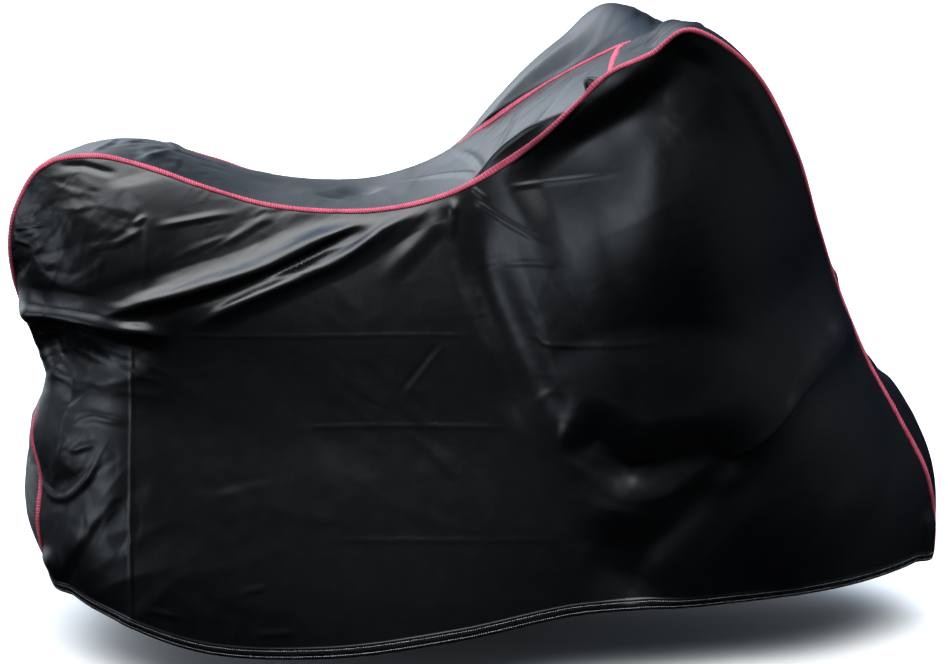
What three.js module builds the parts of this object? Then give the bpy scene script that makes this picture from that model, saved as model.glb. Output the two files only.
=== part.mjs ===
// A fitted motor scooter cover in its draped shape: two side panels, a centre panel in two
// lengths, and the binding tapes sewn over the seams between them.
// Millimetres. +X is the front of the cover, +Y its left side, +Z up.
import * as THREE from 'three';

// Driving dimensions
const CLOTH_THICKNESS = 1.6;
const HEM_DEPTH = 24;
const HEM_EXTRA = 1.2;
const TAPE_WIDTH = 13;
const TAPE_PROUD = 0.5;
const TAPE_MITRE_LIMIT = 0.4;
const GAP = 0.3;
const STEPS = 3;
const STRIP_COLUMNS = 8;
const STATION_LENGTH = 110;
const STRIP_WIDTH = 350;
const SEAM_FADE = 75;
const PATH_STEPS = 6;

// Seam stations, from the rear hem over the rear hump, the dip and the peak to the front hem.
// right and left are points of the two seams, crown is how far the centre panel bulges
// out midway between them.
const STATIONS = [
  { at: 'rear hem', right: [-934, -118, 86], left: [-936, 120, 88], crown: 20 },
  { at: 'rear foot', right: [-947, -170, 205], left: [-946, 172, 205], crown: 50 },
  { at: 'rear foot, high', right: [-937, -166, 310], left: [-938, 168, 310], crown: 54 },
  { at: 'below the notch', right: [-954, -146, 405], left: [-950, 150, 405], crown: 20 },
  { at: 'notch', right: [-922, -98, 505], left: [-930, 110, 507], crown: 10 },
  { at: 'under the hump', right: [-950, -96, 612], left: [-952, 108, 615], crown: 12 },
  { at: 'hump, low', right: [-974, -154, 735], left: [-968, 160, 735], crown: 20 },
  { at: 'hump, high', right: [-964, -182, 850], left: [-950, 180, 825], crown: 30 },
  { at: 'rear corner', right: [-905, -180, 956], left: [-892, 182, 912], crown: 16 },
  { at: 'hump crown', right: [-800, -180, 980], left: [-792, 184, 955], crown: 20 },
  { at: 'hump, falling', right: [-690, -180, 955], left: [-700, 184, 955], crown: 26 },
  { at: 'dip, rear', right: [-580, -179, 915], left: [-590, 182, 926], crown: 16 },
  { at: 'dip', right: [-465, -175, 880], left: [-475, 180, 888], crown: 4 },
  { at: 'dip', right: [-345, -170, 864], left: [-350, 178, 875], crown: 0 },
  { at: 'dip, middle', right: [-225, -170, 866], left: [-225, 175, 883], crown: 2 },
  { at: 'dip, front', right: [-110, -170, 890], left: [-105, 172, 923], crown: 6 },
  { at: 'foot of the slope', right: [-10, -184, 938], left: [0, 168, 992], crown: 8 },
  { at: 'slope', right: [90, -230, 1015], left: [95, 140, 1062], crown: 10 },
  { at: 'slope', right: [160, -272, 1090], left: [175, 105, 1115], crown: 8 },
  { at: 'cross seam', right: [216, -312, 1150], left: [286, 50, 1176], crown: 6 },
  { at: 'below the peak', right: [290, -340, 1188], left: [350, 46, 1188], crown: 12 },
  { at: 'peak', right: [368, -360, 1234], left: [415, 50, 1194], crown: 22 },
  { at: 'front, high', right: [500, -315, 1148], left: [518, 70, 1136], crown: 16 },
  { at: 'front', right: [597, -260, 990], left: [606, 105, 990], crown: 14 },
  { at: 'front', right: [660, -200, 835], left: [664, 134, 835], crown: 12 },
  { at: 'front, low', right: [726, -118, 690], left: [730, 116, 690], crown: 10 },
  { at: 'front foot, high', right: [788, -150, 540], left: [786, 152, 540], crown: 14 },
  { at: 'front foot', right: [857, -167, 415], left: [858, 168, 415], crown: 46 },
  { at: 'front foot, low', right: [935, -150, 268], left: [938, 155, 268], crown: 40 },
  { at: 'front hem', right: [976, -76, 80], left: [976, 80, 82], crown: 12 },
];
const REAR_CORNER = STATIONS.findIndex((s) => s.at === 'rear corner');
const PEAK = STATIONS.findIndex((s) => s.at === 'peak');
const CROSS_SEAM = STATIONS.findIndex((s) => s.at === 'cross seam');
const LAST = STATIONS.length - 1;

// Cross sections of the side panels: at is the share of the way from the rear corner to the
// peak, shoulder, waist and hem are points below the top seam.
const RIGHT_SECTIONS = [
  { at: 0.125, shoulder: [-815, -266, 745], waist: [-800, -268, 395], hem: [-800, -285, 50] },
  { at: 0.25, shoulder: [-595, -262, 690], waist: [-600, -320, 350], hem: [-590, -375, -1] },
  { at: 0.375, shoulder: [-350, -256, 655], waist: [-345, -336, 330], hem: [-340, -420, 1] },
  { at: 0.5, shoulder: [-115, -250, 665], waist: [-100, -335, 340], hem: [-90, -420, 31] },
  { at: 0.625, shoulder: [35, -252, 725], waist: [110, -320, 395], hem: [170, -368, 63] },
  { at: 0.75, shoulder: [205, -325, 820], waist: [320, -356, 430], hem: [430, -330, 62] },
  { at: 0.875, shoulder: [365, -382, 930], waist: [560, -330, 500], hem: [740, -262, 75] },
];
const LEFT_SECTIONS = [
  { at: 0.125, shoulder: [-815, 266, 745], waist: [-800, 265, 395], hem: [-800, 285, 60] },
  { at: 0.25, shoulder: [-595, 285, 690], waist: [-600, 330, 350], hem: [-590, 368, 20] },
  { at: 0.375, shoulder: [-350, 290, 690], waist: [-345, 375, 340], hem: [-340, 410, 6] },
  { at: 0.5, shoulder: [-120, 270, 790], waist: [-100, 385, 400], hem: [-90, 412, 12] },
  { at: 0.625, shoulder: [50, 280, 1018], waist: [100, 375, 520], hem: [170, 376, 40] },
  { at: 0.75, shoulder: [180, 330, 1145], waist: [290, 372, 590], hem: [430, 338, 60] },
  { at: 0.875, shoulder: [320, 348, 1208], waist: [530, 348, 590], hem: [740, 264, 84] },
];
const SHOULDER_ROW = 2 / 8;
const WAIST_ROW = 5 / 8;

// Broad swells of a panel: centre, half length, half height, turn in degrees and rise.
const RIGHT_SWELLS = [
  { at: 'pouch below the peak', x: 300, z: 680, long: 340, high: 400, turn: 0, rise: 14 },
  { at: 'foot of the pouch', x: 330, z: 500, long: 250, high: 170, turn: 0, rise: 16 },
  { at: 'tuck under the hump', x: -850, z: 600, long: 190, high: 80, turn: 0, rise: -22 },
  { at: 'lower front', x: 650, z: 310, long: 260, high: 170, turn: 55, rise: 12 },
  { at: 'lower middle', x: -250, z: 200, long: 460, high: 240, turn: 0, rise: 6 },
];
const LEFT_SWELLS = [
  { at: 'pouch below the peak', x: 330, z: 800, long: 330, high: 380, turn: 0, rise: 22 },
  { at: 'tuck under the hump', x: -850, z: 590, long: 200, high: 80, turn: 0, rise: -22 },
  { at: 'lower front', x: 680, z: 320, long: 240, high: 150, turn: 50, rise: 20 },
  { at: 'lower middle', x: -200, z: 240, long: 460, high: 240, turn: 0, rise: 14 },
];

// Folds: path is a line of x, z points, rise is the height of the ridge or, below zero, the
// depth of the groove. left and right are its widths on each side of the path, crest its
// roundness, start and end the shares of the path over which it fades in and out.
const RIGHT_FOLDS = [
  { at: 'upper fan ridge',
    path: [[-45, 895], [-190, 858], [-320, 820], [-480, 752], [-620, 714], [-745, 684], [-810, 672]],
    rise: 18, left: 28, right: 48, crest: 0.15, start: 0.35, end: 0.15 },
  { at: 'lower fan ridge',
    path: [[-50, 900], [-130, 872], [-222, 826], [-290, 782], [-440, 720], [-530, 682], [-620, 640]],
    rise: 15, left: 36, right: 32, crest: 0.12, start: 0.1, end: 0.25 },
  { at: 'hump ledge', path: [[-960, 657], [-880, 660], [-815, 655], [-725, 642], [-637, 622]],
    rise: 24, left: 56, right: 34, crest: 0.12, start: 0.05, end: 0.3 },
  { at: 'trough',
    path: [[-48, 900], [-41, 770], [-13, 690], [16, 615], [41, 500], [72, 455], [124, 390]],
    rise: -20, left: 90, right: 46, crest: 0.3, start: 0.35, end: 0.3 },
  { at: 'flank of the pouch', path: [[20, 850], [48, 760], [85, 660], [130, 560], [190, 470]],
    rise: 5, left: 80, right: 60, crest: 0.5, start: 0.3, end: 0.3 },
  { at: 'foot of the pouch',
    path: [[136, 451], [205, 420], [270, 372], [362, 390], [451, 405], [570, 455]],
    rise: -34, left: 84, right: 70, crest: 0.4, start: 0.15, end: 0.4 },
  { at: 'ledge ridge', path: [[470, 400], [385, 338], [300, 272], [215, 275], [140, 300]],
    rise: 22, left: 70, right: 90, crest: 0.3, start: 0.2, end: 0.3 },
  { at: 'long valley',
    path: [[750, 590], [600, 488], [493, 390], [383, 290], [300, 180], [245, 70]],
    rise: -24, left: 110, right: 110, crest: 0.5, start: 0.2, end: 0.1 },
  { at: 'hollow under the slope seam',
    path: [[12, 925], [126, 985], [200, 1025], [288, 1095], [344, 1165], [365, 1200]],
    rise: -16, left: 90, right: 300, crest: 0.35, start: 0.15, end: 0.25 },
  { at: 'drape', path: [[-640, 630], [-525, 525], [-435, 440], [-295, 310], [-190, 235]],
    rise: 7, left: 70, right: 100, crest: 0.5, start: 0.3, end: 0.4 },
];
const LEFT_FOLDS = [
  { at: 'fan ridge', path: [[-20, 950], [-150, 850], [-300, 775], [-460, 705], [-640, 650]],
    rise: 24, left: 56, right: 50, crest: 0.2, start: 0.1, end: 0.3 },
  { at: 'low fan ridge', path: [[0, 930], [-90, 790], [-210, 660], [-340, 560], [-470, 480]],
    rise: 22, left: 60, right: 56, crest: 0.3, start: 0.15, end: 0.4 },
  { at: 'hump ledge', path: [[-955, 672], [-860, 660], [-770, 655], [-680, 640]],
    rise: 22, left: 70, right: 40, crest: 0.15, start: 0.05, end: 0.3 },
  { at: 'trough', path: [[20, 900], [25, 760], [70, 620], [120, 500], [200, 400], [300, 345]],
    rise: -36, left: 50, right: 44, crest: 0.3, start: 0.25, end: 0.25 },
  { at: 'ridge off the peak', path: [[290, 1130], [330, 900], [400, 700], [500, 520]],
    rise: 20, left: 70, right: 90, crest: 0.4, start: 0.2, end: 0.4 },
  { at: 'long valley', path: [[760, 600], [640, 500], [540, 380], [470, 250], [420, 90]],
    rise: -38, left: 100, right: 100, crest: 0.5, start: 0.2, end: 0.1 },
  { at: 'drape', path: [[-620, 560], [-480, 420], [-350, 300], [-230, 180]],
    rise: 16, left: 76, right: 70, crest: 0.5, start: 0.3, end: 0.3 },
];

// Folds of the centre panel: path is a line of station number and millimetres from the right seam.
const STRIP_FOLDS = [
  { at: 'dent in the dip', path: [[13.2, 130], [13.5, 190], [13.9, 240]],
    rise: -10, left: 60, right: 60, crest: 0.4, start: 0.3, end: 0.3 },
];

function ease(q) {
  const c = THREE.MathUtils.clamp(q, 0, 1);
  return c * c * (3 - 2 * c);
}

// A cubic through the points, whose slope at each point is the mean of the slopes beside it,
// weighted by their spacing.
function smoothCurve(points, knots = points.map((_, i) => i)) {
  const p = points.map((q) => (q.isVector3 ? q : new THREE.Vector3(...q)));
  const last = p.length - 1;
  const span = p.slice(1).map((_, i) => knots[i + 1] - knots[i]);
  const slope = span.map((h, i) => p[i + 1].clone().sub(p[i]).divideScalar(h));
  const tangent = p.map((_, i) => {
    if (i === 0 || i === last) return null;
    return slope[i - 1].clone().multiplyScalar(span[i])
      .addScaledVector(slope[i], span[i - 1]).divideScalar(span[i - 1] + span[i]);
  });
  tangent[0] = slope[0].clone().multiplyScalar(2).sub(tangent[1] ?? slope[0]);
  tangent[last] = slope[last - 1].clone().multiplyScalar(2).sub(tangent[last - 1] ?? slope[0]);
  return (t) => {
    let i = 0;
    while (i < last - 1 && t > knots[i + 1]) i += 1;
    const s = (t - knots[i]) / span[i];
    const s2 = s * s;
    const s3 = s2 * s;
    return p[i].clone().multiplyScalar(2 * s3 - 3 * s2 + 1)
      .addScaledVector(tangent[i], (s3 - 2 * s2 + s) * span[i])
      .addScaledVector(p[i + 1], 3 * s2 - 2 * s3)
      .addScaledVector(tangent[i + 1], (s3 - s2) * span[i]);
  };
}

// Height of a fold at q half widths from its path: 1 on the path, 0 from q = 1 on.
function foldProfile(q, crest) {
  const reach = Math.hypot(1, crest) - crest;
  const w = THREE.MathUtils.clamp(1 - (Math.hypot(q, crest) - crest) / reach, 0, 1);
  return 0.5 * (w + ease(w) * w);
}

function makeFold(fold) {
  const curve = smoothCurve(fold.path.map(([a, b]) => [a, b, 0]));
  const count = (fold.path.length - 1) * PATH_STEPS;
  const points = Array.from({ length: count + 1 }, (_, i) => curve(i / PATH_STEPS));
  const total = points.slice(1).reduce((sum, p, i) => sum + p.distanceTo(points[i]), 0);
  return { ...fold, points, total };
}

// Nearest distance to the path, above zero on its left, and how far along it that is.
function foldHeight(fold, a, b) {
  let best = Infinity;
  let side = 1;
  let along = 0;
  let before = 0;
  for (let i = 1; i < fold.points.length; i += 1) {
    const p = fold.points[i - 1];
    const length = p.distanceTo(fold.points[i]);
    const da = (fold.points[i].x - p.x) / length;
    const db = (fold.points[i].y - p.y) / length;
    const s = THREE.MathUtils.clamp((a - p.x) * da + (b - p.y) * db, 0, length);
    const distance = Math.hypot(a - p.x - s * da, b - p.y - s * db);
    if (distance < best) {
      best = distance;
      side = Math.sign(da * (b - p.y) - db * (a - p.x)) || 1;
      along = (before + s) / fold.total;
    }
    before += length;
  }
  const q = best / (side > 0 ? fold.left : fold.right);
  const fade = ease(along / fold.start) * ease((1 - along) / fold.end);
  return fold.rise * foldProfile(q, fold.crest) * fade;
}

function swellHeight(swell, x, z) {
  const turn = THREE.MathUtils.degToRad(swell.turn);
  const dx = x - swell.x;
  const dz = z - swell.z;
  const p = (dx * Math.cos(turn) + dz * Math.sin(turn)) / swell.long;
  const q = (dz * Math.cos(turn) - dx * Math.sin(turn)) / swell.high;
  return swell.rise * ease(1 - p * p - q * q);
}

// The normal at each point of a grid is the mean of the cells around it, by their area.
function gridNormals(grid, outwards) {
  const normals = grid.map((row) => row.map(() => new THREE.Vector3()));
  for (let j = 1; j < grid.length; j += 1) {
    for (let i = 1; i < grid[0].length; i += 1) {
      const rising = grid[j][i].clone().sub(grid[j - 1][i - 1]);
      const cell = rising.cross(grid[j][i - 1].clone().sub(grid[j - 1][i]));
      for (const [y, x] of [[j - 1, i - 1], [j - 1, i], [j, i - 1], [j, i]]) normals[y][x].add(cell);
    }
  }
  return normals.map((row) => row.map((normal) => normal.normalize().multiplyScalar(outwards)));
}

// The points of a seam, so many to each station interval.
function seam(side, steps) {
  const curve = smoothCurve(STATIONS.map((s) => s[side]));
  return Array.from({ length: LAST * steps + 1 }, (_, i) => curve(i / steps));
}

// The surface of a side panel, as rows from the top seam to the hem. Its rear and front edges
// are the parts of the seam below the rear corner and the peak.
function sidePanelGrid(side, sections, steps) {
  const points = seam(side, steps);
  const rows = REAR_CORNER * steps;
  const columns = (PEAK - REAR_CORNER) * steps;
  const rear = points.slice(0, rows + 1).reverse();
  const top = points.slice(rows, rows + columns + 1);
  const front = points.slice(rows + columns);
  const knots = [0, ...sections.map((s) => s.at), 1];
  const lineAt = (key, share) => {
    const row = Math.round(share * rows);
    return smoothCurve([rear[row], ...sections.map((s) => s[key]), front[row]], knots);
  };
  const shoulder = lineAt('shoulder', SHOULDER_ROW);
  const waist = lineAt('waist', WAIST_ROW);
  const hem = lineAt('hem', 1);
  const grid = Array.from({ length: rows + 1 }, () => []);
  const profiles = top.map((p, i) => {
    const u = i / columns;
    return smoothCurve([p, shoulder(u), waist(u), hem(u)], [0, SHOULDER_ROW, WAIST_ROW, 1]);
  });
  for (let j = 0; j <= rows; j += 1) {
    const v = j / rows;
    const toRear = rear[j].clone().sub(profiles[0](v));
    const toFront = front[j].clone().sub(profiles[columns](v));
    for (let i = 0; i <= columns; i += 1) {
      const u = i / columns;
      grid[j][i] = profiles[i](v).addScaledVector(toRear, (1 - u) ** 4).addScaledVector(toFront, u ** 6);
    }
  }
  return grid;
}

// Raises the swells and folds along the normals, fading to nothing at the sewn edges.
function addSideRelief(grid, outwards, swells, folds) {
  const normals = gridNormals(grid, outwards);
  const made = folds.map(makeFold);
  const columns = grid[0].length - 1;
  return grid.map((row, j) => row.map((p, i) => {
    const fromTop = p.distanceTo(grid[0][i]);
    const fromRear = p.distanceTo(row[0]);
    const fromFront = p.distanceTo(row[columns]);
    const mask = ease(fromTop / SEAM_FADE) * ease(fromRear / SEAM_FADE) * ease(fromFront / SEAM_FADE);
    let height = 0;
    for (const swell of swells) height += swellHeight(swell, p.x, p.z);
    for (const fold of made) height += foldHeight(fold, p.x, p.z);
    return p.clone().addScaledVector(normals[j][i], height * mask);
  }));
}

// The surface of the centre panel, one row for each step along the seams.
function stripGrid() {
  const right = seam('right', STEPS);
  const left = seam('left', STEPS);
  const crown = smoothCurve(STATIONS.map((s) => [s.crown, 0, 0]));
  const folds = STRIP_FOLDS.map((fold) => {
    return makeFold({ ...fold, path: fold.path.map(([at, across]) => [at * STATION_LENGTH, across]) });
  });
  return right.map((start, j) => {
    const end = left[j];
    const before = Math.max(j - 1, 0);
    const after = Math.min(j + 1, right.length - 1);
    const along = right[after].clone().add(left[after]).sub(right[before]).sub(left[before]);
    const normal = end.clone().sub(start).cross(along).normalize();
    const station = (j / STEPS) * STATION_LENGTH;
    return Array.from({ length: STRIP_COLUMNS + 1 }, (_, i) => {
      const w = i / STRIP_COLUMNS;
      let height = crown(j / STEPS).x * 4 * w * (1 - w);
      const mask = ease((w * STRIP_WIDTH) / SEAM_FADE) * ease(((1 - w) * STRIP_WIDTH) / SEAM_FADE);
      for (const fold of folds) height += mask * foldHeight(fold, station, w * STRIP_WIDTH);
      return start.clone().lerp(end, w).addScaledVector(normal, -height);
    });
  });
}

// A sheet as its outer face and, one thickness inside it, its inner face.
function sheetFaces(outer, outwards) {
  const normals = gridNormals(outer, outwards);
  const inner = outer.map((row, j) => {
    return row.map((p, i) => p.clone().addScaledVector(normals[j][i], -CLOTH_THICKNESS));
  });
  return { outer, inner };
}

// Where a sheet meets a seam: each edge point, its normal and the direction into the sheet.
// An edge entry names the grid point on the seam and its neighbour inside the sheet. That
// direction is square to the seam, or along the grid where the edge ends against other edges.
function edgeFrames(faces, edges, square) {
  const last = edges.length - 1;
  const pointAt = (n) => faces.outer[edges[n].j][edges[n].i];
  return edges.map((edge, n) => {
    const point = pointAt(n);
    const normal = point.clone().sub(faces.inner[edge.j][edge.i]).normalize();
    const inside = faces.outer[edge.toJ][edge.toI].clone().sub(point);
    if (!square) return { point, normal, inward: inside.normalize() };
    const tangent = pointAt(Math.min(n + 1, last)).clone().sub(pointAt(Math.max(n - 1, 0)));
    const inward = normal.clone().cross(tangent).normalize();
    return { point, normal, inward: inward.multiplyScalar(Math.sign(inward.dot(inside))) };
  });
}

// Moves the sewn edge of a sheet back from the seam line.
function pullBack(faces, edges, frames) {
  const outer = faces.outer.map((row) => [...row]);
  const inner = faces.inner.map((row) => [...row]);
  edges.forEach((edge, n) => {
    const { point, normal, inward } = frames[n];
    outer[edge.j][edge.i] = point.clone().addScaledVector(inward, SEAM_ALLOWANCE);
    inner[edge.j][edge.i] = outer[edge.j][edge.i].clone().addScaledVector(normal, -CLOTH_THICKNESS);
  });
  return { ...faces, outer, inner };
}

// The sewn edge of a side panel, in the order of the seam: up the rear, along the top, down the front.
function sidePanelEdges(rows, columns) {
  const rear = [];
  const front = [];
  for (let j = 1; j <= rows; j += 1) {
    rear.unshift({ j, i: 0, toJ: j, toI: 1 });
    front.push({ j, i: columns, toJ: j, toI: columns - 1 });
  }
  const top = [];
  for (let i = 0; i <= columns; i += 1) {
    top.push({ j: 0, i, toJ: 1, toI: THREE.MathUtils.clamp(i, 1, columns - 1) });
  }
  return [...rear, ...top, ...front];
}

// One ring of a tape that lies over a seam between sheets a and b: it fills the gap between
// them and stands a little proud of both on each face.
function tapeRing(a, b) {
  const normal = a.normal.clone().add(b.normal).normalize();
  const mitre = Math.max(normal.dot(a.normal), TAPE_MITRE_LIMIT);
  const depth = CLOTH_THICKNESS + TAPE_PROUD;
  const corner = (frame, height) => frame.point.clone()
    .addScaledVector(frame.inward, TAPE_WIDTH / 2).addScaledVector(frame.normal, height);
  const ridge = (height) => a.point.clone().addScaledVector(normal, height / mitre);
  return [
    corner(a, TAPE_PROUD), ridge(TAPE_PROUD), corner(b, TAPE_PROUD),
    corner(b, -depth), ridge(-depth), corner(a, -depth),
  ];
}

// Turns the end row of a sheet into a folded hem: a band thicker on the outside.
function addHem(faces, atEnd) {
  const order = (rows) => (atEnd ? rows : [...rows].reverse());
  const outer = order(faces.outer);
  const inner = order(faces.inner);
  const last = outer.length - 1;
  const rowAt = (rows, height) => rows[last].map((p, i) => {
    const above = rows[last - 1][i];
    return p.clone().lerp(above, height / p.distanceTo(above));
  });
  const raise = (row, under) => row.map((p, i) => {
    return p.clone().add(p.clone().sub(under[i]).setLength(HEM_EXTRA));
  });
  const innerTop = rowAt(inner, HEM_DEPTH);
  const innerStep = rowAt(inner, HEM_DEPTH - 1);
  const outerTop = rowAt(outer, HEM_DEPTH);
  const outerStep = raise(rowAt(outer, HEM_DEPTH - 1), innerStep);
  const outerEnd = raise(outer[last], inner[last]);
  return {
    ...faces,
    outer: order([...outer.slice(0, last), outerTop, outerStep, outerEnd]),
    inner: order([...inner.slice(0, last), innerTop, innerStep, inner[last]]),
  };
}

// A closed body from points and triangles, turned so that its faces point out.
function closedGeometry(points, triangles) {
  const volume = triangles.reduce((sum, [a, b, c]) => {
    return sum + points[a].dot(points[b].clone().cross(points[c]));
  }, 0);
  const index = triangles.flatMap(([a, b, c]) => (volume > 0 ? [a, b, c] : [a, c, b]));
  const geometry = new THREE.BufferGeometry();
  geometry.setAttribute('position', new THREE.Float32BufferAttribute(points.flatMap((p) => p.toArray()), 3));
  geometry.setIndex(index);
  geometry.computeVertexNormals();
  return geometry;
}

// Three points of a corner cell lie on the seam, so it is split from its corner inwards.
function splitFromCorners({ outer, centres }) {
  const last = outer[0].length - 1;
  centres[0][0] = outer[0][0].clone().lerp(outer[1][1], 0.5);
  centres[0][last - 1] = outer[0][last].clone().lerp(outer[1][last - 1], 0.5);
}

// Each cell of a sheet is split along the diagonal that lies nearer to the true surface at
// its centre, where the centres are known.
function sheetGeometry({ outer, inner, centres }) {
  const rows = outer.length;
  const columns = outer[0].length;
  const triangles = [];
  const outside = (j, i) => j * columns + i;
  const inside = (j, i) => rows * columns + j * columns + i;
  const quad = (a, b, c, d) => triangles.push([a, b, c], [a, c, d]);
  for (let j = 1; j < rows; j += 1) {
    for (let i = 1; i < columns; i += 1) {
      const centre = centres?.[j - 1]?.[i - 1];
      const miss = (p, q) => p.clone().lerp(q, 0.5).distanceTo(centre);
      if (centre && miss(outer[j - 1][i - 1], outer[j][i]) < miss(outer[j - 1][i], outer[j][i - 1])) {
        quad(outside(j - 1, i - 1), outside(j - 1, i), outside(j, i), outside(j, i - 1));
        quad(inside(j, i), inside(j - 1, i), inside(j - 1, i - 1), inside(j, i - 1));
      } else {
        quad(outside(j - 1, i), outside(j, i), outside(j, i - 1), outside(j - 1, i - 1));
        quad(inside(j - 1, i), inside(j - 1, i - 1), inside(j, i - 1), inside(j, i));
      }
    }
    quad(outside(j - 1, 0), outside(j, 0), inside(j, 0), inside(j - 1, 0));
    const end = columns - 1;
    quad(outside(j, end), outside(j - 1, end), inside(j - 1, end), inside(j, end));
  }
  for (let i = 1; i < columns; i += 1) {
    const end = rows - 1;
    quad(outside(0, i), outside(0, i - 1), inside(0, i - 1), inside(0, i));
    quad(outside(end, i - 1), outside(end, i), inside(end, i), inside(end, i - 1));
  }
  return closedGeometry([...outer.flat(), ...inner.flat()], triangles);
}

// A closed bar through a row of rings with their corners in the same order.
function barGeometry(rings) {
  const size = rings[0].length;
  const triangles = [];
  const quad = (a, b, c, d) => triangles.push([a, b, c], [a, c, d]);
  for (let j = 1; j < rings.length; j += 1) {
    for (let i = 0; i < size; i += 1) {
      const a = (j - 1) * size + i;
      const b = (j - 1) * size + ((i + 1) % size);
      quad(a, b, b + size, a + size);
    }
  }
  const end = (rings.length - 1) * size;
  for (let i = 1; i < size / 2; i += 1) {
    quad(i - 1, size - i, size - i - 1, i);
    quad(end + i, end + size - i - 1, end + size - i, end + i - 1);
  }
  return closedGeometry(rings.flat(), triangles);
}

const cloth = new THREE.MeshStandardMaterial({ color: 0x15171b, roughness: 0.5, metalness: 0 });
const tape = new THREE.MeshStandardMaterial({ color: 0xb4304f, roughness: 0.75, metalness: 0 });
const cover = new THREE.Group();

function addPiece(name, geometry, material) {
  const mesh = new THREE.Mesh(geometry, material);
  mesh.name = name;
  cover.add(mesh);
}

const SEAM_ALLOWANCE = TAPE_WIDTH / 2 + GAP;
const PANEL_ROWS = REAR_CORNER * STEPS;
const PANEL_COLUMNS = (PEAK - REAR_CORNER) * STEPS;
const CROSS_ROW = CROSS_SEAM * STEPS;

// The centre panel, whole at first
const centre = sheetFaces(stripGrid(), -1);
const columnEdge = (i, toI) => centre.outer.map((_, j) => ({ j, i, toJ: j, toI }));
const stripEdge = {
  right: columnEdge(0, 1),
  left: columnEdge(STRIP_COLUMNS, STRIP_COLUMNS - 1),
};
const stripFrames = {
  right: edgeFrames(centre, stripEdge.right, true),
  left: edgeFrames(centre, stripEdge.left, true),
};

// Side panels and the tapes along their seams. The surface is worked out twice as fine as
// the sheet, and its odd points are the centres of the sheet's cells.
const sides = [
  { side: 'right', outwards: -1, sections: RIGHT_SECTIONS, swells: RIGHT_SWELLS, folds: RIGHT_FOLDS },
  { side: 'left', outwards: 1, sections: LEFT_SECTIONS, swells: LEFT_SWELLS, folds: LEFT_FOLDS },
];
const everyOther = (list, first) => list.filter((_, n) => n % 2 === first);
const every = (rows, first) => everyOther(rows, first).map((row) => everyOther(row, first));
for (const { side, outwards, sections, swells, folds } of sides) {
  const surface = addSideRelief(sidePanelGrid(side, sections, STEPS * 2), outwards, swells, folds);
  const faces = { ...sheetFaces(every(surface, 0), outwards), centres: every(surface, 1) };
  splitFromCorners(faces);
  const edges = sidePanelEdges(PANEL_ROWS, PANEL_COLUMNS);
  const frames = edgeFrames(faces, edges, true);
  addPiece(`side_panel_${side}`, sheetGeometry(addHem(pullBack(faces, edges, frames), true)), cloth);
  const rings = frames.map((frame, n) => tapeRing(frame, stripFrames[side][n]));
  addPiece(`seam_tape_${side}`, barGeometry(rings), tape);
}

// The two lengths of the centre panel and the tape across the seam between them
const sideEdges = [...stripEdge.right, ...stripEdge.left];
const trimmed = pullBack(centre, sideEdges, [...stripFrames.right, ...stripFrames.left]);
const across = Array.from({ length: STRIP_COLUMNS + 1 }, (_, i) => i);
const crossEdge = (step) => across.map((i) => ({ j: CROSS_ROW, i, toJ: CROSS_ROW + step, toI: i }));
const crossFrames = (step) => edgeFrames(trimmed, crossEdge(step), false);
function lengthOf(step, from, to) {
  const { outer, inner } = pullBack(trimmed, crossEdge(step), crossFrames(step));
  return { outer: outer.slice(from, to), inner: inner.slice(from, to) };
}
const rear = lengthOf(-1, 0, CROSS_ROW + 1);
const front = lengthOf(1, CROSS_ROW, centre.outer.length);
addPiece('centre_panel_rear', sheetGeometry(addHem(rear, false)), cloth);
addPiece('centre_panel_front', sheetGeometry(addHem(front, true)), cloth);
const aheadFrames = crossFrames(1);
const crossRings = crossFrames(-1).map((frame, i) => tapeRing(frame, aheadFrames[i]));
addPiece('cross_seam_tape', barGeometry(crossRings), tape);

export default cover;
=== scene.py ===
"""A fitted motor scooter cover in coated cloth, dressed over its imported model.

Two side panels, a centre panel in two lengths, binding tapes over the seams and a stitched
hem: +X is the front of the cover, +Y its left side, +Z up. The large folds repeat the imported
model's; the fine creases, the sewing and the finishes are added here. The tables of shapes are
in millimetres, and everything else is in metres.
"""

from collections import namedtuple

import bpy
import numpy as np
from bpy.props import FloatProperty, FloatVectorProperty, PointerProperty
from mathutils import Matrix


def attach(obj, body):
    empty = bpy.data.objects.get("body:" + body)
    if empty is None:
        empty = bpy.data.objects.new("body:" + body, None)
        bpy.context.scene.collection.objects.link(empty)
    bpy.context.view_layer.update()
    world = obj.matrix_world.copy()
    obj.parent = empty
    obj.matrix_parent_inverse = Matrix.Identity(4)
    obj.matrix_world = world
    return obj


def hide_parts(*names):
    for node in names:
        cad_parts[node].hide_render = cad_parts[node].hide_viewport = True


bl_info = {
    "name": "Motor scooter cover",
    "version": (1, 0, 0),
    "blender": (4, 5, 0),
    "location": "3D View > Sidebar > Cover",
    "description": "Builds the draped cloth, tapes, stitches and stage of a motor scooter cover",
    "category": "Object",
}

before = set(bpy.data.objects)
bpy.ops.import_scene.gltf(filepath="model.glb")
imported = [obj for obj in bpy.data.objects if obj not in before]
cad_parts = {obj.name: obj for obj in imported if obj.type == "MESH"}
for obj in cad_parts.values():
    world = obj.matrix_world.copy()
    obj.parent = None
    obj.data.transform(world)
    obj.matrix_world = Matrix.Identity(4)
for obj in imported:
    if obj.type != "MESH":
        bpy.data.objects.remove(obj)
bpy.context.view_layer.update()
MILLIMETRE = 0.001

Station = namedtuple("Station", "at right left crown")
Section = namedtuple("Section", "at shoulder waist hem")
Swell = namedtuple("Swell", "at x z long high turn rise")
Fold = namedtuple("Fold", "at path rise left right crest start end")
Ripple = namedtuple("Ripple", "at x z long high turn pitch stretch rise seed")
Crumple = namedtuple("Crumple", "at x z long high turn spread count crease width rise seed")
HemStep = namedtuple("HemStep", "above raised")


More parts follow.
